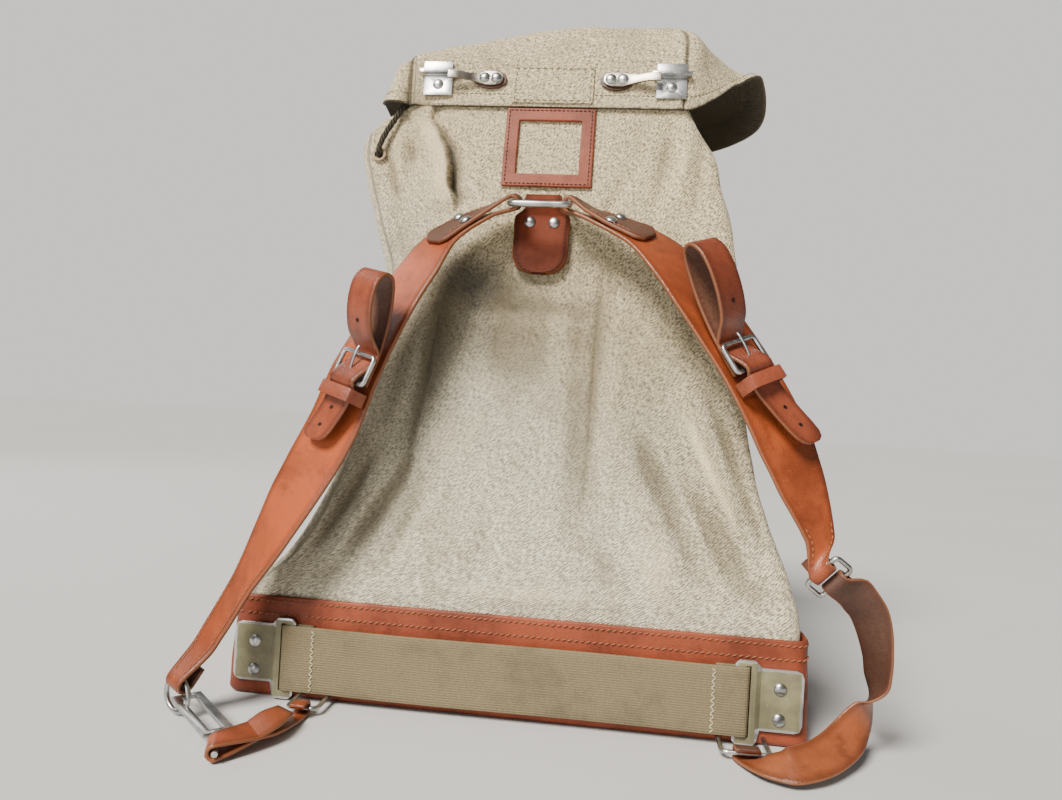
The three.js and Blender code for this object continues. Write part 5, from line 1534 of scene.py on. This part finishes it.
def webbing_rows():
    """Rows of the lumbar band, folded round the bar of a plate at each end."""
    face, back = WEBBING["face"] + WEBBING["thick"] / 2, WEBBING["back"] - WEBBING["thick"] / 2
    radius, core = (back - face) / 2, (face + back) / 2
    bar = WEBBING["end"] - WEBBING["thick"] / 2 - radius
    angle = np.linspace(-math.pi / 2, math.pi / 2, WEBBING_STEPS[0])
    right = [(bar + radius * math.cos(a), core + radius * math.sin(a)) for a in angle]
    right += [(x, back) for x in np.linspace(bar, WEBBING["sewn"], WEBBING_STEPS[1])[1:]]
    left = [(-x, y) for x, y in reversed(right)]
    front = [(x, face) for x in np.linspace(-bar, bar, WEBBING_STEPS[2])[1:-1]]
    path = np.array(left + front + right)
    inside = slice(len(left), len(left) + len(front))
    flat = path[inside, 0]
    calm = np.clip((bar - SWAY["calm"] - np.abs(flat)) / SWAY["fade"], 0, 1)
    bow = SWAY["bow"] * np.sin(path[:, 0] / SWAY["bow_length"]) * (path[:, 1] < core)
    sides = []
    for edge, lag in (("low", 0), ("high", SWAY["lag"])):
        height = np.full(len(path), WEBBING[edge])
        height[inside] += SWAY["height"] * np.sin(flat / SWAY["length"] + lag) * calm
        sides.append(np.column_stack([path[:, 0], path[:, 1] + bow, height]))
    return np.stack(sides, axis=1)


# Metal

SIDES = (("left", -1), ("right", 1))
# Share of an axis along z from which the x axis squares it up
STEEP = 0.9
RING_STEPS = (56, 14)
PRONG_STEPS = 31
TABLES = {"left": (STRAP_LEFT, LOOP_LEFT), "right": (STRAP_RIGHT, LOOP_RIGHT)}


def metal(piece, *nodes):
    """Finish a piece as plated steel."""
    settle(piece, "steel", "steel", *nodes)


def rivet_axis(node):
    """Way a rivet's head faces."""
    kind, _, side = node.partition("_rivet_")
    if kind == "plate":
        return -Y_AXIS
    if kind in ("tab", "clasp"):
        return PANEL_OUT
    _, out, _ = placed(TABLES[side.split("_")[0]][0])
    return out[1]


def build_rivet(node):
    """Dome head of a rivet: a ball flattened and cut off, seated where the node's head is."""
    axis = rivet_axis(node)
    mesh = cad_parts[node].data
    spots = np.zeros(len(mesh.vertices) * 3)
    mesh.vertices.foreach_get("co", spots)
    spots = np.unique(np.round(spots.reshape(-1, 3) / MM - FRAME_SHIFT, 4), axis=0)
    reach = spots @ axis
    rim = spots[reach > reach.max() - RIVET["rise"] - RIVET["near"]]
    centre = rim.mean(axis=0)
    seat = centre + axis * (reach.max() - RIVET["rise"] - centre @ axis)
    piece = primitive(node + "_dome", "uv_sphere", **RIVET_BALL)
    wide, cut = RIVET["head"] * RIVET["wider"], RIVET["rise"] * RIVET["cut"]
    resized(wide, wide, RIVET["rise"] * RIVET["taller"])
    bpy.ops.mesh.bisect(plane_co=(0, 0, cut), plane_no=(0, 0, 1), use_fill=True, clear_inner=True)
    bpy.ops.mesh.select_all(action="SELECT")
    bpy.ops.transform.translate(value=(0, 0, -cut))
    bpy.ops.object.mode_set(mode="OBJECT")
    only(piece)
    bpy.ops.object.shade_smooth_by_angle(angle=DOMED)
    u = unit(np.cross(Z_AXIS if abs(axis[2]) < STEEP else X_AXIS, axis))
    moved_to(piece, seat, u, np.cross(axis, u))
    metal(piece, node)


def build_rings():
    """Top ring, round ring, link and the loops at the base."""
    ring = wire_loop("ring_of_harness", RING_CENTRE, X_AXIS, RING_AXIS, RING["half"], RING_REACH, RING)
    metal(ring, "top_ring")
    ring = primitive("round_ring", "torus", major_radius=RING_LEFT["radius"], minor_radius=RING_LEFT["wire"],
                     major_segments=RING_STEPS[0], minor_segments=RING_STEPS[1])
    bpy.ops.object.shade_smooth()
    metal(moved_to(ring, RING_LEFT["at"], RING_TURN, Z_AXIS), "strap_ring_left")
    link = wire_loop("link_of_strap", LINK["at"], LINK_BAR, LINK_SPAN, LINK["half"], LINK["reach"], LINK)
    metal(link, "strap_link_right")
    reach = (BASE_LOOP["far"] - BASE_LOOP["near"]) / 2
    for label, (x, half) in BASE_LOOPS.items():
        centre = (x, BASE_LOOP["near"] + reach, BASE_LOOP["z"])
        loop = wire_loop("wire_loop_" + label, centre, X_AXIS, Y_AXIS, half, reach, BASE_LOOP)
        metal(loop, "base_loop_" + label)


def build_buckles():
    """Buckle frames and prongs of the accessory loops."""
    for label, side in SIDES:
        table, loop = TABLES[label]
        along, _, inward, place = strap_frame(table, loop, side)
        centre = place(BUCKLE["at"], BUCKLE["out"], BUCKLE["side"])
        bow = wire_loop("buckle_" + label, centre, inward, along, BUCKLE["half"], BUCKLE["reach"], BUCKLE)
        metal(bow, "buckle_frame_" + label)
        path = spline([place(t, n, PRONG["side"]) for t, n in PRONG_ROWS], np.linspace(0, 1, PRONG_STEPS))
        metal(wire_piece("prong_" + label, path, PRONG["thick"]), "buckle_prong_" + label)


# Punched holes by their distance from the loop's end; columns of one hole: radius, height
HOLES = {"left": (12, 27, 100), "right": (14, 30, 116)}
HOLE_RINGS = ((1.5, 0.1), (1.5, 0.24), (0.9, 0.1))
HOLE_SIDES = 20


def build_holes(label, rows, flip):
    """Punched holes of a loop strap: dark discs of painted shade just proud of its outer side."""
    middle = rows.mean(axis=1)
    way = lengths(middle)
    lift = lift_of(rows) * (-1 if flip else 1)
    across = unit(rows[:, 1] - rows[:, 0])
    angle = np.linspace(0, 2 * math.pi, HOLE_SIDES, endpoint=False)[:, None]
    points = []
    for from_end in HOLES[label]:
        i = int(np.argmin(np.abs(way[-1] - way - from_end)))
        along = unit(middle[min(i + 1, len(middle) - 1)] - middle[i - 1])
        for radius, height in HOLE_RINGS:
            ring = (across[i] * np.cos(angle) + along * np.sin(angle)) * radius
            points.append(middle[i] + lift[i] * (LOOP_THICK / 2 + height) + ring)
    faces = repeated(tube_faces(len(HOLE_RINGS), HOLE_SIDES), len(HOLES[label]))
    piece = make_piece("punched_holes_" + label, np.concatenate(points), faces)
    settle(piece, "hole", "loop_leather")


# Cord: sides, swell of its strands, their number, length of their lay, and a skew that starts its frame
CORD_SHAPE = {"sides": 14, "swell": 0.07, "strands": 3, "lay": 1.1, "skew": 0.31, "steps": 133}


def cord_piece(name, path, radius):
    """Round cord along a path, its map running round and along it."""
    along = unit(neighbours(path))
    side = unit(np.cross(along, np.roll(along, 1, axis=1) + CORD_SHAPE["skew"]))
    for i in range(1, len(path)):
        side[i] = unit(side[i - 1] - along[i] * np.dot(side[i - 1], along[i]))
    up = np.cross(along, side)
    way = lengths(path)
    rings, uv = [], []
    for angle in np.linspace(0, 2 * math.pi, CORD_SHAPE["sides"], endpoint=False):
        strand = np.cos(CORD_SHAPE["strands"] * angle - way / CORD_SHAPE["lay"])
        swell = radius * (1 + CORD_SHAPE["swell"] * strand)[:, None]
        rings.append(path + (side * math.cos(angle) + up * math.sin(angle)) * swell)
        uv.append(np.column_stack([np.full(len(path), angle * radius), way]))
    points, uv = np.stack(rings, axis=1), np.stack(uv, axis=1)
    return make_piece(name, points.reshape(-1, 3), tube_faces(*points.shape[:2]), uv.reshape(-1, 2))


def sack_spot(around, z, out):
    """Point a distance out from the sack's smooth face, and the direction out."""
    step = 0.01
    at = sack_point(around % AROUND, z)[0]
    side = sack_point((around + step) % AROUND, z)[0] - sack_point((around - step) % AROUND, z)[0]
    up = sack_point(around % AROUND, z + 1)[0] - sack_point(around % AROUND, z - 1)[0]
    normal = unit(np.cross(side, up))
    return at + normal * out, normal


def build_cord():
    """Mouth cord and the eyelet it goes through."""
    places = np.linspace(0, 1, CORD_SHAPE["steps"])
    path = spline([sack_spot(*row)[0] for row in CORD_ROWS], places)
    settle(cord_piece("mouth_cord", path, CORD), "cord", "cord", "drawstring")
    at, normal = sack_spot(EYELET["around"], EYELET["z"], 0)
    u = unit(np.cross(Z_AXIS, normal))
    v = np.cross(normal, u)
    angle = np.linspace(0, 2 * math.pi, EYELET["sides"], endpoint=False)[:, None]
    rings = [at + normal * out + (u * np.cos(angle) + v * np.sin(angle)) * radius
             for radius, out in EYELET_PROFILE]
    faces = grid_faces(len(rings), len(angle), closed_rows=True, closed_columns=True)
    piece = make_piece("mouth_eyelet", np.concatenate(rings), faces)
    bevelled(piece, EYELET["bevel"] * MM, EYELET["segments"], SMOOTH)
    settle(piece, "eyelet", "steel", "eyelet_left")


# Stitching

BASE_STITCH = {"below": (3.2, 12.4), "proud": 0.3, "length": 0.8, "share": 0.85, "slant": 24, "points": 700}
ZIGZAG = {"x": 136.4, "y": -7.5, "low": 8.5, "high": 52.5, "step": 2.1, "swing": 1.2, "overlap": 1.02,
          "share": 0.8}
# Points along each side of a line on the back panel
PANEL_STEPS = 24
# Height of a thread over leather or cloth, and insets of the stitches from the edges
PROUD = 0.1
INSETS = {"frame": 2.6, "tab": 3.0, "patch": 2.2, "strap": 3.2, "tongue": 2.8, "tie": 2.6}
TAB_SEWN = {"first": 3, "below_ring": 8}
# Stitches of the lid: share of the way up from its hem, height on and off the band, places beside the seams
HEM_THREAD = {"share": 0.085, "band": 0.15, "free": 0.7}
SEAM_THREADS = (-0.22, 4.2)
SEAM_PROUD = 0.3
# Stitched length at the lower ends of the straps, and the rows of the tongue and the tie that are sewn
STRAP_SEWN = {"left": 92, "right": 30}
TONGUE_SEWN = (6, 4)
TIE_SEWN = {"share": (3, 5), "past": 8}


def base_stitches(sizes):
    """Two rows of slanted stitches round the top of the base."""
    around = np.linspace(0, AROUND, BASE_STITCH["points"], endpoint=False)
    pitch, thread = sizes.base_pitch / MM, sizes.thread / MM * BASE_STITCH["share"]
    runs = []
    for below in BASE_STITCH["below"]:
        line, normal = base_ring(around, BASE_HEIGHT - below, -BASE_STITCH["proud"])
        runs.append(stitch_points(line, normal, pitch, BASE_STITCH["length"] * pitch, thread,
                                  BASE_STITCH["slant"]))
    return runs


def webbing_stitches(sizes):
    """Zig-zags at the ends of the webbing."""
    levels = np.arange(ZIGZAG["low"], ZIGZAG["high"], ZIGZAG["step"])
    swing = np.where(np.arange(len(levels)) % 2 == 0, -ZIGZAG["swing"], ZIGZAG["swing"])
    runs = []
    for _, side in SIDES:
        line = np.column_stack([side * ZIGZAG["x"] + swing, np.full(len(levels), ZIGZAG["y"]), levels])
        for ends in zip(line, line[1:]):
            size = float(np.linalg.norm(ends[1] - ends[0]))
            thread = sizes.thread / MM * ZIGZAG["share"]
            runs.append(stitch_points(ends, -Y_AXIS, size, size * ZIGZAG["overlap"], thread))
    return runs


def panel_line(sheet, inset):
    """Closed line on a sheet of the back panel, inset from its edges."""
    half, low, high = sheet["half"] - inset, sheet["low"] + inset, sheet["high"] - inset
    corners = [(-half, low), (half, low), (half, high), (-half, high), (-half, low)]
    out = sheet["out"] + sheet["thick"] + PROUD
    line = []
    for (x0, z0), (x1, z1) in zip(corners, corners[1:]):
        for share in np.linspace(0, 1, PANEL_STEPS, endpoint=False):
            line.append(on_panel(lerp(x0, x1, share), lerp(z0, z1, share), out))
    return np.array(line + [line[0]])


def both_edges(kind, rows, inset, height, sizes):
    """Stitches of a kind along both edges of a strap."""
    return [sewn(kind, *along_band(rows, share, inset, height), sizes) for share in (0, 1)]


def panel_stitches(sizes):
    """Stitches of the frame and the tab."""
    rows = tab_rows()
    last = int(np.argmax(rows.mean(axis=1)[:, 2] > RING["far_z"] - TAB_SEWN["below_ring"]))
    runs = [sewn("frame", panel_line(FRAME, INSETS["frame"]), PANEL_OUT, sizes)]
    height = -TAB["thick"] / 2 - PROUD
    return runs + both_edges("tab", rows[TAB_SEWN["first"]:last], INSETS["tab"], height, sizes)


def lid_stitches(sizes):
    """Stitches along the lid's hem, round its patch and beside its seams."""
    points, shares, station = lid_lines(LID_COLUMNS)
    normal = lid_normals(points)
    row = int(np.argmin(np.abs(shares - HEM_THREAD["share"])))
    lift = np.where(on_band(points[row]), HEM_THREAD["band"], HEM_THREAD["free"])[:, None]
    hem = points[row] + normal[row] * lift
    hem, facing = (np.concatenate([part, part[:1]]) for part in (hem, normal[row]))
    runs = [sewn("hem", hem, facing, sizes)]
    runs.append(sewn("patch", panel_line(PATCH, INSETS["patch"]), PANEL_OUT, sizes))
    part = slice(1, int(LID_STEPS * LID_SEAM["to"]))
    for seam in SEAM_THREADS:
        at = int(np.argmin(round_lid(station, seam)))
        line = points[part, at] + normal[part, at] * SEAM_PROUD
        runs.append(sewn("seam", line, normal[part, at], sizes))
    return runs


def strap_stitches(sizes):
    """Stitches along the lower ends of the shoulder straps, the tongues and the hook's tab."""
    height = STRAP / 2 + PROUD
    runs = []
    for label, side in SIDES:
        rows, head, last = shoulder_rows(TABLES[label][0], side)
        way = lengths(rows.mean(axis=1))
        first = int(np.argmax(way > way[last] - STRAP_SEWN[label]))
        tongue = rows[TONGUE_SEWN[0]:head - TONGUE_SEWN[1]]
        runs += both_edges("strap", rows[first:last], INSETS["strap"], height, sizes)
        runs += both_edges("strap", tongue, INSETS["tongue"], -height, sizes)
    rows = tie_rows()
    part, whole = TIE_SEWN["share"]
    sewn_rows = rows[len(rows) * part // whole + TIE_SEWN["past"]:]
    return runs + both_edges("tab", sewn_rows, INSETS["tie"], TIE["thick"] / 2 + PROUD, sizes)


# Sizes and colours that a user would change

def colour_property(name, description, default):
    """Colour setting."""
    return bpy.props.FloatVectorProperty(name=name, description=description, default=default,
                                         subtype="COLOR", size=3, min=0, max=1)


class RucksackSizes(bpy.types.PropertyGroup):
    """Sizes of the stitching."""

    thread: bpy.props.FloatProperty(
        name="Thread", description="Radius of the sewing thread", default=0.00055, unit="LENGTH")
    base_pitch: bpy.props.FloatProperty(
        name="Base stitch", description="Length of one stitch of the base", default=0.0042, unit="LENGTH")


class RucksackColours(bpy.types.PropertyGroup):
    """Colours of the materials."""

    canvas_light: colour_property("Canvas light", "Light yarn of the canvas", (0.83, 0.685, 0.42))
    canvas_dark: colour_property("Canvas dark", "Dark yarn of the canvas", (0.15, 0.116, 0.061))
    canvas_grey: colour_property("Canvas grey", "Light yarn of the greyed canvas", (0.74, 0.675, 0.505))
    base_leather: colour_property("Base leather", "Leather of the base, frame and tab", (0.215, 0.046, 0.019))
    strap_leather: colour_property("Strap leather", "Leather of the shoulder straps", (0.315, 0.066, 0.02))
    lower_strap: colour_property("Lower strap", "Leather of the lower strap", (0.25, 0.068, 0.024))
    loop_leather: colour_property("Loop leather", "Leather of the loops", (0.22, 0.05, 0.022))
    flesh_side: colour_property("Flesh side", "Back of the leather", (0.085, 0.036, 0.021))
    raw_edge: colour_property("Raw edge", "Cut edges of the leather", (0.27, 0.1, 0.04))
    webbing: colour_property("Webbing", "Lumbar webbing", (0.19, 0.148, 0.08))
    paint: colour_property("Paint", "Paint of the plates", (0.26, 0.235, 0.13))
    steel: colour_property("Steel", "Plated steel", (0.60, 0.60, 0.59))
    spring: colour_property("Springs", "Dull steel of the clasp arms", (0.36, 0.315, 0.265))
    tarnish: colour_property("Tarnish", "Tarnish on the steel", (0.16, 0.11, 0.07))
    cord: colour_property("Cord", "Mouth cord", (0.05, 0.038, 0.022))
    thread: colour_property("Thread", "Sewing thread", (0.62, 0.53, 0.36))
    leather_thread: colour_property("Leather thread", "Thread in the leather", (0.36, 0.13, 0.055))
    dark_thread: colour_property("Dark thread", "Thread of the frame and the tab", (0.06, 0.014, 0.008))
    canvas_thread: colour_property("Canvas thread", "Thread of the lid", (0.30, 0.245, 0.13))
    floor: colour_property("Floor", "Floor and backdrop", (0.56, 0.55, 0.535))


# Operators

class RUCKSACK_OT_canvas(bpy.types.Operator):
    """Model the sack, the lid and its patch"""

    bl_idname = "rucksack.canvas"
    bl_label = "Canvas"
    bl_options = {"REGISTER", "UNDO"}

    def execute(self, context):
        """Build the pieces."""
        build_sack()
        build_lid()
        build_patch()
        return {"FINISHED"}


class RUCKSACK_OT_base(bpy.types.Operator):
    """Model the leather base, its stitches and those of the webbing"""

    bl_idname = "rucksack.base"
    bl_label = "Leather base"
    bl_options = {"REGISTER", "UNDO"}

    def execute(self, context):
        """Build the pieces."""
        sizes = context.scene.rucksack_sizes
        build_base()
        settle(stitch_piece("stitches_of_base", base_stitches(sizes)), "leather_thread", "canvas")
        settle(stitch_piece("stitches_of_webbing", webbing_stitches(sizes)), "thread", "canvas")
        return {"FINISHED"}


class RUCKSACK_OT_panel(bpy.types.Operator):
    """Model the frame and the tab on the back panel, and the stitches of them and of the lid"""

    bl_idname = "rucksack.panel"
    bl_label = "Frame and tab"
    bl_options = {"REGISTER", "UNDO"}

    def execute(self, context):
        """Build the pieces."""
        sizes = context.scene.rucksack_sizes
        build_frame()
        tab = band_piece("leather_tab", tab_rows(), TAB["thick"], flip=True)
        settle(tab, "tab", "base_leather", "ring_tab")
        settle(stitch_piece("stitches_of_panel", panel_stitches(sizes)), "dark_thread", "canvas")
        settle(stitch_piece("stitches_of_lid", lid_stitches(sizes)), "canvas_thread", "canvas")
        return {"FINISHED"}


class RUCKSACK_OT_straps(bpy.types.Operator):
    """Model the shoulder straps, the lower strap, the hook's tab and their stitches"""

    bl_idname = "rucksack.straps"
    bl_label = "Straps"
    bl_options = {"REGISTER", "UNDO"}

    def execute(self, context):
        """Build the pieces."""
        sizes = context.scene.rucksack_sizes
        for label, side in SIDES:
            rows, _, _ = shoulder_rows(TABLES[label][0], side)
            piece = band_piece("leather_strap_" + label, rows, STRAP)
            settle(piece, "strap", "strap_leather", "shoulder_strap_" + label)
        lower = band_piece("leather_lower_strap", lower_rows(), LOWER["thick"])
        settle(lower, "lower", "strap_leather", "lower_strap_right")
        tie = band_piece("leather_hook_tab", tie_rows(), TIE["thick"], doubled=True)
        settle(tie, "strap", "strap_leather", "hook_tab_left")
        settle(stitch_piece("stitches_of_straps", strap_stitches(sizes)), "leather_thread", "canvas")
        return {"FINISHED"}


class RUCKSACK_OT_loops(bpy.types.Operator):
    """Model the accessory loops with their holes, buckles and keepers"""

    bl_idname = "rucksack.loops"
    bl_label = "Accessory loops"
    bl_options = {"REGISTER", "UNDO"}

    def execute(self, context):
        """Build the pieces."""
        for label, side in SIDES:
            rows = loop_rows(*TABLES[label], side)
            piece = band_piece("leather_loop_" + label, rows, LOOP_THICK, flip=side > 0)
            settle(piece, "loop", "loop_leather", "loop_strap_" + label)
            build_holes(label, rows, side > 0)
            keeper = "leather_keeper_" + label
            refined("loop_keeper_" + label, keeper, ROUND["keeper"], "keeper", "loop_leather")
        build_buckles()
        return {"FINISHED"}


class RUCKSACK_OT_lumbar(bpy.types.Operator):
    """Model the lumbar webbing and its plates"""

    bl_idname = "rucksack.lumbar"
    bl_label = "Lumbar band"
    bl_options = {"REGISTER", "UNDO"}

    def execute(self, context):
        """Build the pieces."""
        band = band_piece("lumbar_band", webbing_rows(), WEBBING["thick"], rounding=WEBBING_ROUND)
        settle(band, "webbing", "webbing", "lumbar_webbing")
        for label, _ in SIDES:
            refined("lumbar_plate_" + label, "painted_plate_" + label, ROUND["plate"], "paint", "plate_paint")
        return {"FINISHED"}


class RUCKSACK_OT_fittings(bpy.types.Operator):
    """Model the rings, the hook, the clasps, the cord and the rivets"""

    bl_idname = "rucksack.fittings"
    bl_label = "Fittings"
    bl_options = {"REGISTER", "UNDO"}

    def execute(self, context):
        """Build the pieces."""
        build_rings()
        refined("strap_hook_left", "flat_hook", ROUND["hook"], "steel", "steel")
        for label, _ in SIDES:
            refined("clasp_plate_" + label, "clasp_cup_" + label, ROUND["clasp"], "steel", "steel")
            refined("clasp_arm_" + label, "clasp_spring_" + label, ROUND["clasp"], "spring", "steel")
            backing = "leather_backing_" + label
            refined("clasp_backing_" + label, backing, ROUND["backing"], "backing", "base_leather")
        build_cord()
        for node in sorted(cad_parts):
            if "_rivet_" in node:
                build_rivet(node)
        return {"FINISHED"}


class RUCKSACK_OT_stage(bpy.types.Operator):
    """Set the floor, the lights and the camera"""

    bl_idname = "rucksack.stage"
    bl_label = "Stage"
    bl_options = {"REGISTER", "UNDO"}

    def execute(self, context):
        """Build the stage."""
        build_stage()
        return {"FINISHED"}


CAMERA = {"at": (0.064, -0.6275, 0.215), "yaw": -6.27, "pitch": 0.42, "roll": 3.35, "lens": 26.96,
          "sensor": 36, "clip": 0.01}
SUN = {"from": (-0.7, -1.25, 1.5), "power": 7.0, "angle": 22, "colour": (1.0, 0.965, 0.9)}
# Soft lamps; columns: name, place, size, power, colour
LIGHTS = (
    ("fill", (-0.75, -1.7, 0.3), 1.2, 11, (0.96, 0.98, 1.0)),
    ("rim", (-1.4, 0.9, 1.2), 0.8, 8, (1.0, 0.98, 0.95)),
)
AIM = (0.0, 0.0, 0.24)
FLOOR = {"vertices": 96, "radius": 9, "fill_type": "NGON", "location": (0, 0, -0.0002)}
BACKDROP = (0.94, 0.92, 0.89)
SKY = (0.86, 0.88, 0.9)
AMBIENT = 0.18


def build_stage():
    """Pale floor, soft lights and the camera of the photo."""
    floor = primitive("floor", "circle", **FLOOR)
    floor.data.materials.append(looks()["floor"])
    sun = linked("sun", bpy.data.lights.new("sun", "SUN"))
    sun.data.energy = SUN["power"]
    sun.data.angle = math.radians(SUN["angle"])
    sun.data.color = SUN["colour"]
    sun.rotation_euler = (-Vector(SUN["from"])).to_track_quat("-Z", "Y").to_euler()
    for name, at, size, power, colour in LIGHTS:
        lamp = linked(name, bpy.data.lights.new(name, "AREA"))
        lamp.data.size = size
        lamp.data.energy = power
        lamp.data.color = colour
        lamp.location = at
        lamp.rotation_euler = (Vector(AIM) - Vector(at)).to_track_quat("-Z", "Y").to_euler()
    world = bpy.data.worlds.new("studio")
    world.use_nodes = True
    nodes, links = world.node_tree.nodes, world.node_tree.links
    seen = nodes.new("ShaderNodeBackground")
    seen.inputs[0].default_value = (*BACKDROP, 1)
    nodes["Background"].inputs[0].default_value = (*SKY, 1)
    nodes["Background"].inputs[1].default_value = AMBIENT
    either = nodes.new("ShaderNodeMixShader")
    links.new(nodes.new("ShaderNodeLightPath").outputs["Is Camera Ray"], either.inputs[0])
    links.new(nodes["Background"].outputs[0], either.inputs[1])
    links.new(seen.outputs[0], either.inputs[2])
    links.new(either.outputs[0], nodes["World Output"].inputs["Surface"])
    bpy.context.scene.world = world
    yaw, pitch, roll = (math.radians(CAMERA[key]) for key in ("yaw", "pitch", "roll"))
    forward = Vector((math.sin(yaw) * math.cos(pitch), math.cos(yaw) * math.cos(pitch), math.sin(pitch)))
    flat = Vector((math.cos(yaw), -math.sin(yaw), 0))
    rise = flat.cross(forward)
    right = flat * math.cos(roll) + rise * math.sin(roll)
    up = rise * math.cos(roll) - flat * math.sin(roll)
    camera = linked("camera", bpy.data.cameras.new("camera"))
    camera.data.lens = CAMERA["lens"]
    camera.data.sensor_width = CAMERA["sensor"]
    camera.data.sensor_fit = "HORIZONTAL"
    camera.data.clip_start = CAMERA["clip"]
    camera.matrix_world = Matrix((
        (right.x, up.x, -forward.x, CAMERA["at"][0]), (right.y, up.y, -forward.y, CAMERA["at"][1]),
        (right.z, up.z, -forward.z, CAMERA["at"][2]), (0, 0, 0, 1)))
    bpy.context.scene.camera = camera


OPERATORS = (RUCKSACK_OT_canvas, RUCKSACK_OT_base, RUCKSACK_OT_panel, RUCKSACK_OT_straps, RUCKSACK_OT_loops,
             RUCKSACK_OT_lumbar, RUCKSACK_OT_fittings, RUCKSACK_OT_stage)


class RUCKSACK_PT_panel(bpy.types.Panel):
    """Settings and steps of the rucksack"""

    bl_idname = "RUCKSACK_PT_panel"
    bl_label = "Rucksack"
    bl_space_type = "VIEW_3D"
    bl_region_type = "UI"
    bl_category = "Rucksack"

    def draw(self, context):
        """List the settings and the operators."""
        for group in (context.scene.rucksack_sizes, context.scene.rucksack_colours):
            for key in group.__annotations__:
                self.layout.prop(group, key)
        for operator in OPERATORS:
            self.layout.operator(operator.bl_idname)


CLASSES = (RucksackSizes, RucksackColours, *OPERATORS, RUCKSACK_PT_panel)


def register():
    """Register the classes and the settings."""
    for each in CLASSES:
        bpy.utils.register_class(each)
    bpy.types.Scene.rucksack_sizes = bpy.props.PointerProperty(type=RucksackSizes)
    bpy.types.Scene.rucksack_colours = bpy.props.PointerProperty(type=RucksackColours)


def unregister():
    """Take the settings and the classes back."""
    del bpy.types.Scene.rucksack_colours
    del bpy.types.Scene.rucksack_sizes
    for each in reversed(CLASSES):
        bpy.utils.unregister_class(each)


def main():
    """Build everything in order."""
    register()
    bpy.ops.rucksack.stage()
    bpy.ops.rucksack.canvas()
    bpy.ops.rucksack.base()
    bpy.ops.rucksack.panel()
    bpy.ops.rucksack.straps()
    bpy.ops.rucksack.loops()
    bpy.ops.rucksack.lumbar()
    bpy.ops.rucksack.fittings()


if __name__ == "__main__":
    main()
